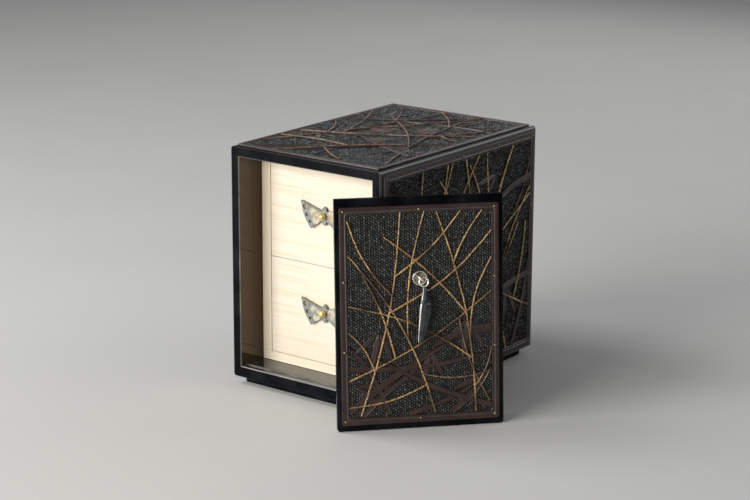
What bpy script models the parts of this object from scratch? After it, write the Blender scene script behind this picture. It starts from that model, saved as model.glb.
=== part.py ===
"""A personal seal box: an upright lacquered case with an open front, a pale wood cabinet with two
drawers in it, and its lift-off front panel (the lid), which stands on the floor and leans on the
case's front right corner.

Metres, +Z up. The front faces -Y, and the origin is the middle of the underside, on the floor."""

from math import asin, cos, pi, radians, sin

import bmesh
import bpy
from mathutils import Euler, Vector

# Left between two pieces that touch.
GAP = 0.0003
# How far a cutter runs on past the face that it opens.
CUT_PAST = 0.001

# Case and plinth
CASE_WIDTH = 0.159
CASE_DEPTH = 0.229
CASE_HEIGHT = 0.205
WALL = 0.0086
SILL = 0.0100
CASE_CORNER_RADIUS = 0.0026
CASE_EDGE_RADIUS = 0.0010
MOUTH_CHAMFER = 0.0005
PLINTH_HEIGHT = 0.0065
PLINTH_INSET_SIDES = 0.0058
PLINTH_INSET_ENDS = 0.008
PLINTH_CORNER_RADIUS = 0.0030
PLINTH_CHAMFER = 0.0004
CASE_TOP = PLINTH_HEIGHT + CASE_HEIGHT
CASE_FRONT = -CASE_DEPTH / 2
OPENING_WIDTH = CASE_WIDTH - 2 * WALL
OPENING_LOW = PLINTH_HEIGHT + SILL
OPENING_HIGH = CASE_TOP - WALL
CAVITY_BACK = CASE_DEPTH / 2 - WALL

# Lid: a board that drops into a groove in the sill, behind a deeper one in the lintel
LID_WIDTH = 0.1394
LID_HEIGHT = 0.1922
LID_THICKNESS = 0.0045
LID_TOP_RADIUS = 0.0013
LID_BOTTOM_RADIUS = 0.0025
LID_EDGE_RADIUS = 0.0004
GROOVE_FROM_FRONT = 0.0039
GROOVE_WIDTH = LID_THICKNESS + 0.0004
SILL_GROOVE_DEPTH = 0.0020
LINTEL_GROOVE_DEPTH = 0.0066

# Where the lid leans: turned about the vertical, tilted back, and touching the case's front right
# corner this far along from the lid's left edge
LID_TURN = radians(47.56)
LID_LEAN = radians(5.85)
LID_TOUCH = 0.039

# Cabinet and drawers
CABINET_SETBACK = 0.030
CABINET_SIDE = 0.0094
CABINET_BASE = 0.0080
CABINET_ROOF = 0.0060
CABINET_BACK = 0.0050
CABINET_FRONT = CASE_FRONT + CABINET_SETBACK
CABINET_HALF_WIDTH = OPENING_WIDTH / 2 - GAP
CABINET_LOW = OPENING_LOW + GAP
CABINET_HIGH = OPENING_HIGH - GAP
BAY_HALF_WIDTH = CABINET_HALF_WIDTH - CABINET_SIDE
BAY_LOW = CABINET_LOW + CABINET_BASE
BAY_HIGH = CABINET_HIGH - CABINET_ROOF
BAY_BACK = CAVITY_BACK - GAP - CABINET_BACK
SHELF_HEIGHT = 0.1115
SHELF_THICKNESS = 0.0050
FRONT_THICKNESS = 0.0100
FRONT_CLEARANCE = 0.0004
FRONT_EDGE_RADIUS = 0.0004
TRAY_WALL = 0.0050
TRAY_FLOOR = 0.0040
TRAY_SIDE_CLEARANCE = 0.0006
TRAY_TOP_CLEARANCE = 0.0020
TRAY_BACK_CLEARANCE = 0.0010

# Butterfly pulls on the drawers, half of each outline as (across, up) from the stud
PULL_ABOVE_CENTRE = 0.0029
BUTTERFLY_BACK = 0.0012
BUTTERFLY_THICKNESS = 0.0020
BODY_TOP = (0.0, 0.0081)
BODY_SHOULDER_TOP = (0.0027, 0.0048)
BODY_SHOULDER_BOTTOM = (0.0022, -0.0060)
BODY_BOTTOM = (0.0, -0.0086)
WING_ROOT_TOP = (0.0022, 0.0037)
WING_ROOT_BOTTOM = (0.0025, -0.0045)
WING_TIP_TOP = (0.0252, 0.0104)
WING_TIP_BOTTOM = (0.0146, -0.0129)
WING_BULGE = 0.0020
WING_HOLES = ((0.0207, 0.0053, 0.0021), (0.0187, -0.0015, 0.0016), (0.0155, -0.0071, 0.0012))
STUD_COLLAR_RADIUS = 0.0030
STUD_POST_RADIUS = 0.0019
STUD_BALL_RADIUS = 0.0030

# Moulded frames, as (distance in from the outer edge, height above the frame's back)
FRAME_INSET = 0.0039
LID_FRAME_INSET_SIDES = 0.0038
LID_FRAME_INSET_ENDS = 0.0061
LID_FRAME_DROP = 0.0011
FRAME_RAIL = 0.0061
FRAME_CORNER_RADIUS = 0.0022
FRAME_RISE = 0.0013
FRAME_GROOVE_DEPTH = 0.0004
FRAME_PROFILE = (
    (0.0, 0.0),
    (0.0, FRAME_RISE - 0.0004),
    (0.0004, FRAME_RISE),
    (0.0034, FRAME_RISE),
    (0.0036, FRAME_RISE - FRAME_GROOVE_DEPTH),
    (0.0044, FRAME_RISE - FRAME_GROOVE_DEPTH),
    (0.0046, FRAME_RISE - 0.0001),
    (0.0058, FRAME_RISE - 0.0001),
    (FRAME_RAIL, FRAME_RISE - 0.0004),
    (FRAME_RAIL, 0.0),
)
WEAVE_THICKNESS = 0.0004
LEAF_THICKNESS = 0.0005
LEAF_LIFT = GAP + WEAVE_THICKNESS + GAP

# Leaf sprays: leaves fanned about a hub, as (across, up, middle leaf's direction in degrees,
# number of leaves, longest leaf), measured from the middle of each face
LEAF_WIDTH_TO_LENGTH = 0.15
LEAF_SPACING = 36
LEAF_SHORTENING = 0.16
HUB_RADIUS = 0.0014
SPRAYS = {
    "lid": (
        (-0.034, -0.014, 258, 3, 0.036),
        (0.008, -0.030, 258, 3, 0.038),
        (0.040, -0.006, 262, 3, 0.036),
        (-0.054, -0.058, 337, 2, 0.036),
        (0.054, -0.052, 226, 2, 0.036),
    ),
    "top": (
        (-0.044, 0.052, 66, 3, 0.036),
        (0.040, 0.088, 212, 3, 0.036),
        (-0.050, -0.030, 300, 3, 0.036),
        (0.050, -0.034, 250, 3, 0.036),
        (-0.004, -0.068, 258, 2, 0.032),
    ),
    "right": (
        (-0.076, -0.020, 262, 3, 0.044),
        (-0.028, -0.038, 264, 3, 0.044),
        (0.018, -0.022, 272, 3, 0.044),
        (0.070, -0.034, 262, 3, 0.044),
        (-0.070, 0.052, 36, 3, 0.036),
        (0.052, 0.070, 206, 2, 0.036),
    ),
    "left": (
        (-0.034, -0.024, 252, 3, 0.044),
        (0.044, -0.030, 286, 3, 0.044),
    ),
    "back": (
        (-0.028, -0.030, 252, 3, 0.040),
        (0.030, -0.040, 290, 3, 0.036),
    ),
}
# Blossoms on the top, as (across, up, turn in degrees, radius)
BLOSSOMS = (
    (-0.012, 0.012, 10, 0.0130),
    (0.022, 0.030, 40, 0.0115),
    (0.008, -0.026, 70, 0.0105),
)
BLOSSOM_NOTCH = 0.22

# Drop pull on the lid
ROSETTE_FROM_BOTTOM = 0.125
ROSETTE_RADIUS = 0.0063
ROSETTE_SCALLOPS = 14
ROSETTE_SCALLOP_DEPTH = 0.0003
ROSETTE_THICKNESS = 0.0010
EYE_RADIUS = 0.0028
EYE_WIRE = 0.0007
EYE_TURN = radians(-45)
EYE_LEG = 0.0020
RING_RADIUS = 0.0037
RING_WIRE = 0.00065
# The ring's wire sits this far from the middle of the eye's arch, towards its crown.
RING_IN_EYE = 0.0006
POD_LENGTH = 0.0454
POD_SIDES = 8
POD_FLATTENING = 0.84
POD_BOW = 0.0023
POD_SIDE_TILT = radians(3.5)
PULL_OUT_TILT = radians(3.5)
# The pod's radius, as (distance below the ring, radius)
POD_PROFILE = (
    (0.0, 0.0007),
    (0.0028, 0.0009),
    (0.0050, 0.0023),
    (0.0108, 0.0042),
    (0.0112, 0.0046),
    (0.0120, 0.0046),
    (0.0124, 0.0042),
    (0.0130, 0.0047),
    (0.0165, 0.0050),
    (0.0200, 0.0049),
    (0.0260, 0.0044),
    (0.0350, 0.0036),
    (0.0430, 0.0025),
    (POD_LENGTH, 0.0017),
)


def clear_scene():
    for obj in list(bpy.data.objects):
        bpy.data.objects.remove(obj, do_unlink=True)


def new_collection(name):
    collection = bpy.data.collections.new(name)
    bpy.context.scene.collection.children.link(collection)
    return collection


def new_material(name, color, roughness, metallic=0.0):
    material = bpy.data.materials.new(name)
    material.use_nodes = True
    shader = material.node_tree.nodes["Principled BSDF"]
    shader.inputs["Base Color"].default_value = (*color, 1.0)
    shader.inputs["Roughness"].default_value = roughness
    shader.inputs["Metallic"].default_value = metallic
    return material


clear_scene()
PARTS = new_collection("personal_seal_box")
CUTTERS = new_collection("cutters")
LACQUER = new_material("black_lacquer", (0.012, 0.013, 0.016), 0.12)
PALE_WOOD = new_material("pale_wood", (0.84, 0.70, 0.50), 0.55)
FRAME_WOOD = new_material("brown_frame", (0.055, 0.022, 0.018), 0.40)
WEAVE = new_material("black_weave", (0.012, 0.012, 0.013), 0.55)
LEAF_BROWN = new_material("brown_leaf", (0.045, 0.022, 0.018), 0.45)
PEWTER = new_material("pale_pewter", (0.36, 0.37, 0.33), 0.40, 1.0)
SILVER = new_material("dark_silver", (0.42, 0.43, 0.44), 0.25, 1.0)
GILT = new_material("gilt", (0.75, 0.50, 0.16), 0.25, 1.0)


def add_object(name, data, material, collection=PARTS):
    obj = bpy.data.objects.new(name, data)
    collection.objects.link(obj)
    if material:
        data.materials.append(material)
    return obj


def add_empty(name, location, rotation=(0.0, 0.0, 0.0), parent=None):
    empty = bpy.data.objects.new(name, None)
    empty.empty_display_size = 0.01
    empty.location = location
    empty.rotation_euler = rotation
    empty.parent = parent
    PARTS.objects.link(empty)
    return empty


def mesh_from(name, shape):
    mesh = bpy.data.meshes.new(name)
    shape.to_mesh(mesh)
    shape.free()
    return mesh


def block(name, low, high, material, origin=None, parent=None, collection=PARTS):
    """A box between two corners, with its origin in its middle or at the point given."""
    low = Vector(low)
    high = Vector(high)
    middle = (low + high) / 2
    origin = middle if origin is None else Vector(origin)
    shape = bmesh.new()
    bmesh.ops.create_cube(shape, size=1.0)
    bmesh.ops.scale(shape, vec=high - low, verts=shape.verts)
    bmesh.ops.translate(shape, vec=middle - origin, verts=shape.verts)
    obj = add_object(name, mesh_from(name, shape), material, collection)
    obj.parent = parent
    obj.location = origin if parent is None else origin - parent.location
    return obj


def cut(obj, cutter, operation="DIFFERENCE"):
    cutter.hide_render = True
    cutter.display_type = "WIRE"
    modifier = obj.modifiers.new("cut " + cutter.name, "BOOLEAN")
    modifier.operation = operation
    modifier.solver = "EXACT"
    modifier.object = cutter


def cut_block(obj, name, low, high, operation="DIFFERENCE"):
    cut(obj, block(name, low, high, None, collection=CUTTERS), operation)


def round_edges(obj, radius, segments):
    modifier = obj.modifiers.new("rounded edges", "BEVEL")
    modifier.width = radius
    modifier.segments = segments
    modifier.limit_method = "ANGLE"
    modifier.angle_limit = radians(50)


def arc(centre, radius, start, end, steps):
    """Points along a circle from one angle to another, both ends included."""
    angles = [start + (end - start) * step / steps for step in range(steps + 1)]
    return [(centre[0] + radius * cos(a), centre[1] + radius * sin(a)) for a in angles]


def circle(centre, radius, points):
    return arc(centre, radius, 0.0, 2 * pi, points)[:-1]


def bowed(start, end, bulge, steps):
    """Points of a line from start to end that bulges to its right, both ends left out."""
    along = Vector(end) - Vector(start)
    right = Vector((along.y, -along.x)).normalized()
    points = []
    for step in range(1, steps):
        part = step / steps
        point = Vector(start) + along * part + right * bulge * sin(pi * part)
        points.append((point.x, point.y))
    return points


def rounded_rectangle(width, height, radii, steps=3):
    """Anticlockwise from the lower right, with the radii of the lower and of the upper corners."""
    points = []
    for quarter, (side, end) in enumerate(((1, -1), (1, 1), (-1, 1), (-1, -1))):
        radius = radii[0] if end < 0 else radii[1]
        centre = (side * (width / 2 - radius), end * (height / 2 - radius))
        start = (quarter - 1) * pi / 2
        points += arc(centre, radius, start, start + pi / 2, steps)
    return points


def flat_piece(name, outlines, thickness, material, parent, location, turn=0.0):
    """A flat plate from closed outlines, the first its edge and the others holes. Its back is at
    the location, in the parent's frame, and its front faces the parent's +Z."""
    data = bpy.data.curves.new(name, "CURVE")
    data.dimensions = "2D"
    data.fill_mode = "BOTH"
    data.extrude = thickness / 2
    for outline in outlines:
        spline = data.splines.new("POLY")
        spline.points.add(len(outline) - 1)
        for point, (x, y) in zip(spline.points, outline):
            point.co = (x, y, 0.0, 1.0)
        spline.use_cyclic_u = True
    obj = add_object(name, data, material)
    obj.parent = parent
    obj.location = Vector(location) + Vector((0.0, 0.0, thickness / 2))
    obj.rotation_euler = (0.0, 0.0, turn)
    return obj


def loft(name, loops, material, parent, location=(0.0, 0.0, 0.0), closed=False):
    """A skin through loops of equal length, anticlockwise as seen from the side that they climb
    towards. It is capped at both ends or, if closed, joined from the last loop to the first."""
    shape = bmesh.new()
    rings = [[shape.verts.new(point) for point in loop] for loop in loops]
    pairs = list(zip(rings, rings[1:]))
    if closed:
        pairs.append((rings[-1], rings[0]))
    else:
        shape.faces.new(list(reversed(rings[0])))
        shape.faces.new(rings[-1])
    for lower, upper in pairs:
        for index in range(len(lower)):
            after = (index + 1) % len(lower)
            shape.faces.new((lower[index], lower[after], upper[after], upper[index]))
    obj = add_object(name, mesh_from(name, shape), material)
    obj.parent = parent
    obj.location = location
    return obj


def turned(name, profile, steps, material, parent, location):
    """A solid turned about its own Z from (radius, height) points, listed from the top down."""
    shape = bmesh.new()
    verts = [shape.verts.new((radius, 0.0, height)) for radius, height in profile]
    for upper, lower in zip(verts, verts[1:]):
        shape.edges.new((upper, lower))
    obj = add_object(name, mesh_from(name, shape), material)
    screw = obj.modifiers.new("turn", "SCREW")
    screw.steps = steps
    screw.render_steps = steps
    screw.use_merge_vertices = True
    screw.merge_threshold = 0.00001
    obj.parent = parent
    obj.location = location
    return obj


def wire(name, points, radius, material, parent, location):
    """A round wire through points, with filled ends."""
    data = bpy.data.curves.new(name, "CURVE")
    data.dimensions = "3D"
    data.bevel_depth = radius
    data.bevel_resolution = 2
    data.use_fill_caps = True
    spline = data.splines.new("POLY")
    spline.points.add(len(points) - 1)
    for point, co in zip(spline.points, points):
        point.co = (*co, 1.0)
    obj = add_object(name, data, material)
    obj.parent = parent
    obj.location = location
    return obj


def smooth(obj):
    obj.data.shade_smooth()
    obj.data.set_sharp_from_angle(angle=radians(35))


def case_boards():
    """Each board of the carcass, as the box that it fills of the rounded block."""
    half = CASE_WIDTH / 2 + CUT_PAST
    side = OPENING_WIDTH / 2
    front = CASE_FRONT - CUT_PAST
    back = CUT_PAST - CASE_FRONT
    low = PLINTH_HEIGHT - CUT_PAST
    high = CASE_TOP + CUT_PAST
    wall_low = OPENING_LOW + GAP
    wall_high = OPENING_HIGH - GAP
    lip_back = CASE_FRONT + GROOVE_FROM_FRONT
    return (
        ("case_floor", (-half, front, low), (half, back, OPENING_LOW)),
        ("case_left", (-half, front, wall_low), (-side, back, wall_high)),
        ("case_right", (side, front, wall_low), (half, back, wall_high)),
        ("case_back", (GAP - side, CAVITY_BACK, wall_low), (side - GAP, back, wall_high)),
        ("case_lintel", (-half, front, OPENING_HIGH), (half, lip_back, high)),
        ("case_roof", (-half, lip_back + GAP, OPENING_HIGH), (half, back, high)),
    )


def case_loops():
    """Sections of the whole carcass from front to back, smaller in the rounding of both ends."""
    radius = CASE_EDGE_RADIUS
    turns = [step * pi / 6 for step in range(4)]
    stations = [(CASE_FRONT + radius * (1 - cos(a)), radius * (1 - sin(a))) for a in turns]
    stations += [(-y, inset) for y, inset in reversed(stations)]
    middle = PLINTH_HEIGHT + CASE_HEIGHT / 2
    loops = []
    for y, inset in stations:
        corner = CASE_CORNER_RADIUS - inset
        outline = rounded_rectangle(
            CASE_HEIGHT - 2 * inset, CASE_WIDTH - 2 * inset, (corner, corner)
        )
        loops.append([(across, y, middle + up) for up, across in outline])
    return loops


def make_case():
    boards = {}
    for name, low, high in case_boards():
        board = loft(name, case_loops(), LACQUER, None)
        cut_block(board, name + "_extent", low, high, "INTERSECT")
        boards[name] = board
    chamfer = mouth_chamfer()
    for name in ("case_floor", "case_left", "case_right", "case_lintel"):
        cut(boards[name], chamfer)
    side = OPENING_WIDTH / 2
    groove_front = CASE_FRONT + GROOVE_FROM_FRONT
    groove_back = groove_front + GROOVE_WIDTH
    cut_block(
        boards["case_floor"],
        "sill_groove",
        (-side, groove_front, OPENING_LOW - SILL_GROOVE_DEPTH),
        (side, groove_back, OPENING_LOW + CUT_PAST),
    )
    cut_block(
        boards["case_roof"],
        "lintel_groove",
        (-side, groove_front - CUT_PAST, OPENING_HIGH - CUT_PAST),
        (side, groove_back, OPENING_HIGH + LINTEL_GROOVE_DEPTH),
    )


def make_plinth():
    loops = []
    for height, inset in ((0.0, PLINTH_CHAMFER), (PLINTH_CHAMFER, 0.0), (PLINTH_HEIGHT - GAP, 0.0)):
        corner = PLINTH_CORNER_RADIUS - inset
        outline = rounded_rectangle(
            CASE_WIDTH - 2 * (PLINTH_INSET_SIDES + inset),
            CASE_DEPTH - 2 * (PLINTH_INSET_ENDS + inset),
            (corner, corner),
        )
        loops.append([(x, y, height) for x, y in outline])
    smooth(loft("plinth", loops, LACQUER, None))


def mouth_chamfer():
    """A cutter that widens the case's mouth evenly towards its front."""
    front = CASE_FRONT - CUT_PAST
    back = CASE_FRONT + MOUTH_CHAMFER
    side = OPENING_WIDTH / 2
    cutter = block(
        "mouth_chamfer",
        (-side, front, OPENING_LOW),
        (side, back, OPENING_HIGH),
        None,
        collection=CUTTERS,
    )
    for vertex in cutter.data.vertices:
        if vertex.co.y < 0.0:
            vertex.co.x += (back - front) * (1 if vertex.co.x > 0 else -1)
            vertex.co.z += (back - front) * (1 if vertex.co.z > 0 else -1)
    return cutter


def make_cabinet():
    cabinet = block(
        "cabinet",
        (-CABINET_HALF_WIDTH, CABINET_FRONT, CABINET_LOW),
        (CABINET_HALF_WIDTH, CAVITY_BACK - GAP, CABINET_HIGH),
        PALE_WOOD,
    )
    fronts_back = CABINET_FRONT + FRONT_THICKNESS + GAP
    cut_block(
        cabinet,
        "front_recess",
        (-BAY_HALF_WIDTH, CABINET_FRONT - CUT_PAST, BAY_LOW),
        (BAY_HALF_WIDTH, fronts_back, BAY_HIGH),
    )
    for name, low, high in bays():
        cut_block(
            cabinet,
            name + "_bay",
            (-BAY_HALF_WIDTH, fronts_back - CUT_PAST, low),
            (BAY_HALF_WIDTH, BAY_BACK, high),
        )


def bays():
    shelf_low = SHELF_HEIGHT - SHELF_THICKNESS / 2
    shelf_high = SHELF_HEIGHT + SHELF_THICKNESS / 2
    return (("lower", BAY_LOW, shelf_low), ("upper", shelf_high, BAY_HIGH))


def fronts():
    return (
        ("lower", BAY_LOW + FRONT_CLEARANCE, SHELF_HEIGHT - FRONT_CLEARANCE / 2),
        ("upper", SHELF_HEIGHT + FRONT_CLEARANCE / 2, BAY_HIGH - FRONT_CLEARANCE),
    )


def make_drawers():
    for (name, low, high), (_, bay_low, bay_high) in zip(fronts(), bays()):
        slide = add_empty(
            name + "_drawer_slide",
            (0.0, CABINET_FRONT, (low + high) / 2 + PULL_ABOVE_CENTRE),
        )
        half = BAY_HALF_WIDTH - FRONT_CLEARANCE
        front = block(
            name + "_drawer_front",
            (-half, CABINET_FRONT, low),
            (half, CABINET_FRONT + FRONT_THICKNESS, high),
            PALE_WOOD,
            parent=slide,
        )
        round_edges(front, FRONT_EDGE_RADIUS, 1)
        make_tray(name, bay_low + GAP, bay_high - TRAY_TOP_CLEARANCE, slide)
        make_butterfly(name, slide)


def make_tray(name, low, high, slide):
    half = BAY_HALF_WIDTH - TRAY_SIDE_CLEARANCE
    front = CABINET_FRONT + FRONT_THICKNESS + 2 * GAP
    back = BAY_BACK - TRAY_BACK_CLEARANCE
    tray = block(
        name + "_drawer_tray",
        (-half, front, low),
        (half, back, high),
        PALE_WOOD,
        parent=slide,
    )
    cutter = block(
        name + "_drawer_inside",
        (TRAY_WALL - half, front - CUT_PAST, low + TRAY_FLOOR),
        (half - TRAY_WALL, back - TRAY_WALL, high + CUT_PAST),
        None,
        parent=slide,
        collection=CUTTERS,
    )
    cut(tray, cutter)


def butterfly_outline():
    """Anticlockwise, from the body's lower point round the right wing to its upper point, then
    the same mirrored."""
    right = [BODY_BOTTOM, BODY_SHOULDER_BOTTOM, WING_ROOT_BOTTOM, WING_TIP_BOTTOM]
    right += bowed(WING_TIP_BOTTOM, WING_TIP_TOP, WING_BULGE, 6)
    right += [WING_TIP_TOP, WING_ROOT_TOP, BODY_SHOULDER_TOP, BODY_TOP]
    return right + [(-x, y) for x, y in reversed(right[1:-1])]


def make_butterfly(name, slide):
    face = add_empty(name + "_butterfly_face", (0.0, 0.0, 0.0), (pi / 2, 0.0, 0.0), slide)
    outlines = [butterfly_outline(), circle((0.0, 0.0), STUD_POST_RADIUS + GAP, 12)]
    for x, y, radius in WING_HOLES:
        outlines.append(circle((x, y), radius, 10))
        outlines.append(circle((-x, y), radius, 10))
    flat_piece(
        name + "_butterfly",
        outlines,
        BUTTERFLY_THICKNESS,
        PEWTER,
        face,
        (0.0, 0.0, BUTTERFLY_BACK),
    )
    collar_high = BUTTERFLY_BACK - GAP
    profile = ball_profile(BUTTERFLY_BACK + BUTTERFLY_THICKNESS + GAP, 8) + [
        (STUD_POST_RADIUS, collar_high),
        (STUD_COLLAR_RADIUS, collar_high),
        (STUD_COLLAR_RADIUS, GAP),
        (0.0, GAP),
    ]
    stud = turned(name + "_stud", profile, 12, GILT, face, (0.0, 0.0, 0.0))
    smooth(stud)


def ball_profile(low, steps):
    """(radius, height) points of a ball on the post, from its top down to where they meet."""
    radius = STUD_BALL_RADIUS
    under = asin(STUD_POST_RADIUS / radius)
    middle = low + radius * cos(under)
    angles = [(pi - under) * step / steps for step in range(steps + 1)]
    return [(radius * sin(a), middle + radius * cos(a)) for a in angles]


def frame_loops(width, height):
    loops = []
    for inset, rise in FRAME_PROFILE:
        radii = (FRAME_CORNER_RADIUS, FRAME_CORNER_RADIUS)
        outline = rounded_rectangle(width - 2 * inset, height - 2 * inset, radii)
        loops.append([(x, y, rise) for x, y in outline])
    return loops


def leaf_edge(length, steps):
    """(along, half width) of a slender leaf, widest before its middle, both ends left out."""
    widest = length * LEAF_WIDTH_TO_LENGTH / 2
    parts = [step / steps for step in range(1, steps)]
    return [(length * part, widest * sin(pi * part**0.75)) for part in parts]


def spray_outline(count, longest):
    """Leaves fanned about a hub at the origin, the middle one along +X, anticlockwise."""
    outline = []
    first = -LEAF_SPACING * (count - 1) / 2
    for leaf in range(count):
        angle = first + LEAF_SPACING * leaf
        length = longest * (1 - LEAF_SHORTENING * abs(angle) / LEAF_SPACING)
        edge = leaf_edge(length, 6)
        side = [(along, -half) for along, half in edge]
        side += [(length, 0.0)]
        side += [(along, half) for along, half in reversed(edge)]
        outline += [turn_point((HUB_RADIUS + x, y), radians(angle)) for x, y in side]
        if leaf < count - 1:
            between = radians(angle + LEAF_SPACING / 2)
            outline.append(turn_point((HUB_RADIUS, 0.0), between))
    behind = radians(first + LEAF_SPACING * (count - 1) + 60)
    return outline + arc((0.0, 0.0), HUB_RADIUS, behind, 2 * pi - behind, 4)


def turn_point(point, angle):
    x, y = point
    return (x * cos(angle) - y * sin(angle), x * sin(angle) + y * cos(angle))


def blossom_outline(radius, steps=30):
    """Five round petals."""
    points = []
    for step in range(steps):
        angle = 2 * pi * step / steps
        reach = radius * (1 - BLOSSOM_NOTCH * (1 - abs(sin(2.5 * angle))))
        points.append((reach * cos(angle), reach * sin(angle)))
    return points


def dress_face(name, face, width, height, inset_sides, inset_ends, up=0.0):
    """The frame and the woven ground of one face, this far up from the empty at its middle, and
    the leaf sprays round it."""
    frame_width = width - 2 * inset_sides
    frame_height = height - 2 * inset_ends
    loops = frame_loops(frame_width, frame_height)
    frame = loft(name + "_frame", loops, FRAME_WOOD, face, (0.0, up, GAP), closed=True)
    smooth(frame)
    inner = 2 * (FRAME_RAIL + GAP)
    outline = rounded_rectangle(
        frame_width - inner,
        frame_height - inner,
        (FRAME_CORNER_RADIUS, FRAME_CORNER_RADIUS),
    )
    flat_piece(name + "_weave", [outline], WEAVE_THICKNESS, WEAVE, face, (0.0, up, GAP))
    for number, (across, along, direction, count, longest) in enumerate(SPRAYS[name], 1):
        flat_piece(
            f"{name}_leaves_{number}",
            [spray_outline(count, longest)],
            LEAF_THICKNESS,
            LEAF_BROWN,
            face,
            (across, along, LEAF_LIFT),
            radians(direction),
        )


def dress_case():
    middle = PLINTH_HEIGHT + CASE_HEIGHT / 2
    half = CASE_WIDTH / 2
    faces = (
        ("top", (0.0, 0.0, CASE_TOP), (0.0, 0.0, 0.0), CASE_WIDTH, CASE_DEPTH),
        ("right", (half, 0.0, middle), (pi / 2, 0.0, pi / 2), CASE_DEPTH, CASE_HEIGHT),
        ("left", (-half, 0.0, middle), (pi / 2, 0.0, -pi / 2), CASE_DEPTH, CASE_HEIGHT),
        ("back", (0.0, -CASE_FRONT, middle), (pi / 2, 0.0, pi), CASE_WIDTH, CASE_HEIGHT),
    )
    for name, location, rotation, width, height in faces:
        face = add_empty(name + "_face", location, rotation)
        dress_face(name, face, width, height, FRAME_INSET, FRAME_INSET)
        if name == "top":
            make_blossoms(face)


def make_blossoms(face):
    for number, (across, up, turn, radius) in enumerate(BLOSSOMS, 1):
        flat_piece(
            f"blossom_{number}",
            [blossom_outline(radius)],
            LEAF_THICKNESS,
            LEAF_BROWN,
            face,
            (across, up, LEAF_LIFT),
            radians(turn),
        )


def lid_foot():
    """The middle of the lid's front lower edge. The lid's upper back edge touches the case's
    rounded front right edge, and its lower back edge is on the floor."""
    along = Vector((cos(LID_TURN), sin(LID_TURN)))
    back = Vector((-sin(LID_TURN), cos(LID_TURN)))
    corner = Vector((CASE_WIDTH / 2 - CASE_EDGE_RADIUS, CASE_FRONT + CASE_EDGE_RADIUS))
    reach = LID_HEIGHT * sin(LID_LEAN) + LID_THICKNESS * cos(LID_LEAN)
    left = corner - along * LID_TOUCH - back * (CASE_EDGE_RADIUS + GAP + reach)
    foot = left + along * LID_WIDTH / 2
    return Vector((foot.x, foot.y, LID_THICKNESS * sin(LID_LEAN)))


def make_lid():
    stand = add_empty("lid_stand", lid_foot(), (-LID_LEAN, 0.0, LID_TURN))
    face = add_empty("lid_face", (0.0, 0.0, LID_HEIGHT / 2), (pi / 2, 0.0, 0.0), stand)
    outline = rounded_rectangle(LID_WIDTH, LID_HEIGHT, (LID_BOTTOM_RADIUS, LID_TOP_RADIUS))
    board = flat_piece(
        "lid_board",
        [outline],
        LID_THICKNESS,
        LACQUER,
        face,
        (0.0, 0.0, -LID_THICKNESS),
    )
    weld = board.modifiers.new("joined edges", "WELD")
    weld.merge_threshold = 0.00001
    round_edges(board, LID_EDGE_RADIUS, 1)
    dress_face(
        "lid",
        face,
        LID_WIDTH,
        LID_HEIGHT,
        LID_FRAME_INSET_SIDES,
        LID_FRAME_INSET_ENDS,
        -LID_FRAME_DROP,
    )
    make_pull(face)


def rosette_loops():
    """A scalloped disc with a raised rim and a flat field."""
    stations = (
        (0.0, 0.0),
        (0.0, ROSETTE_THICKNESS * 0.7),
        (0.0004, ROSETTE_THICKNESS),
        (0.0010, ROSETTE_THICKNESS),
        (0.0014, ROSETTE_THICKNESS * 0.6),
    )
    points = 3 * ROSETTE_SCALLOPS
    loops = []
    for inset, rise in stations:
        loop = []
        for step in range(points):
            angle = 2 * pi * step / points
            scallop = ROSETTE_SCALLOP_DEPTH * (1 - abs(sin(ROSETTE_SCALLOPS * angle / 2)))
            reach = ROSETTE_RADIUS - inset - scallop
            loop.append((reach * cos(angle), reach * sin(angle), rise))
        loops.append(loop)
    return loops


def eye_points():
    """An arch that stands on the rosette, across the direction of the ring's wire."""
    arch = arc((0.0, EYE_LEG), EYE_RADIUS, 0.0, pi, 10)
    path = [(EYE_RADIUS, 0.0)] + arch + [(-EYE_RADIUS, 0.0)]
    return [(x * cos(EYE_TURN), x * sin(EYE_TURN), up) for x, up in path]


def pod_radius(distance):
    for (near, first), (far, second) in zip(POD_PROFILE, POD_PROFILE[1:]):
        if distance <= far:
            return first + (second - first) * (distance - near) / (far - near)
    return POD_PROFILE[-1][1]


def pod_loops():
    """Eight-sided loops that hang down -Y along a slightly bowed middle line."""
    loops = []
    for distance, _ in reversed(POD_PROFILE):
        radius = pod_radius(distance)
        bow = POD_BOW * sin(pi * (distance / POD_LENGTH) ** 0.6)
        loop = []
        for side in range(POD_SIDES):
            angle = 2 * pi * (side + 0.5) / POD_SIDES
            across = bow + radius * cos(angle)
            loop.append((across, -distance, -radius * POD_FLATTENING * sin(angle)))
        loops.append(loop)
    return loops


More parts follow.
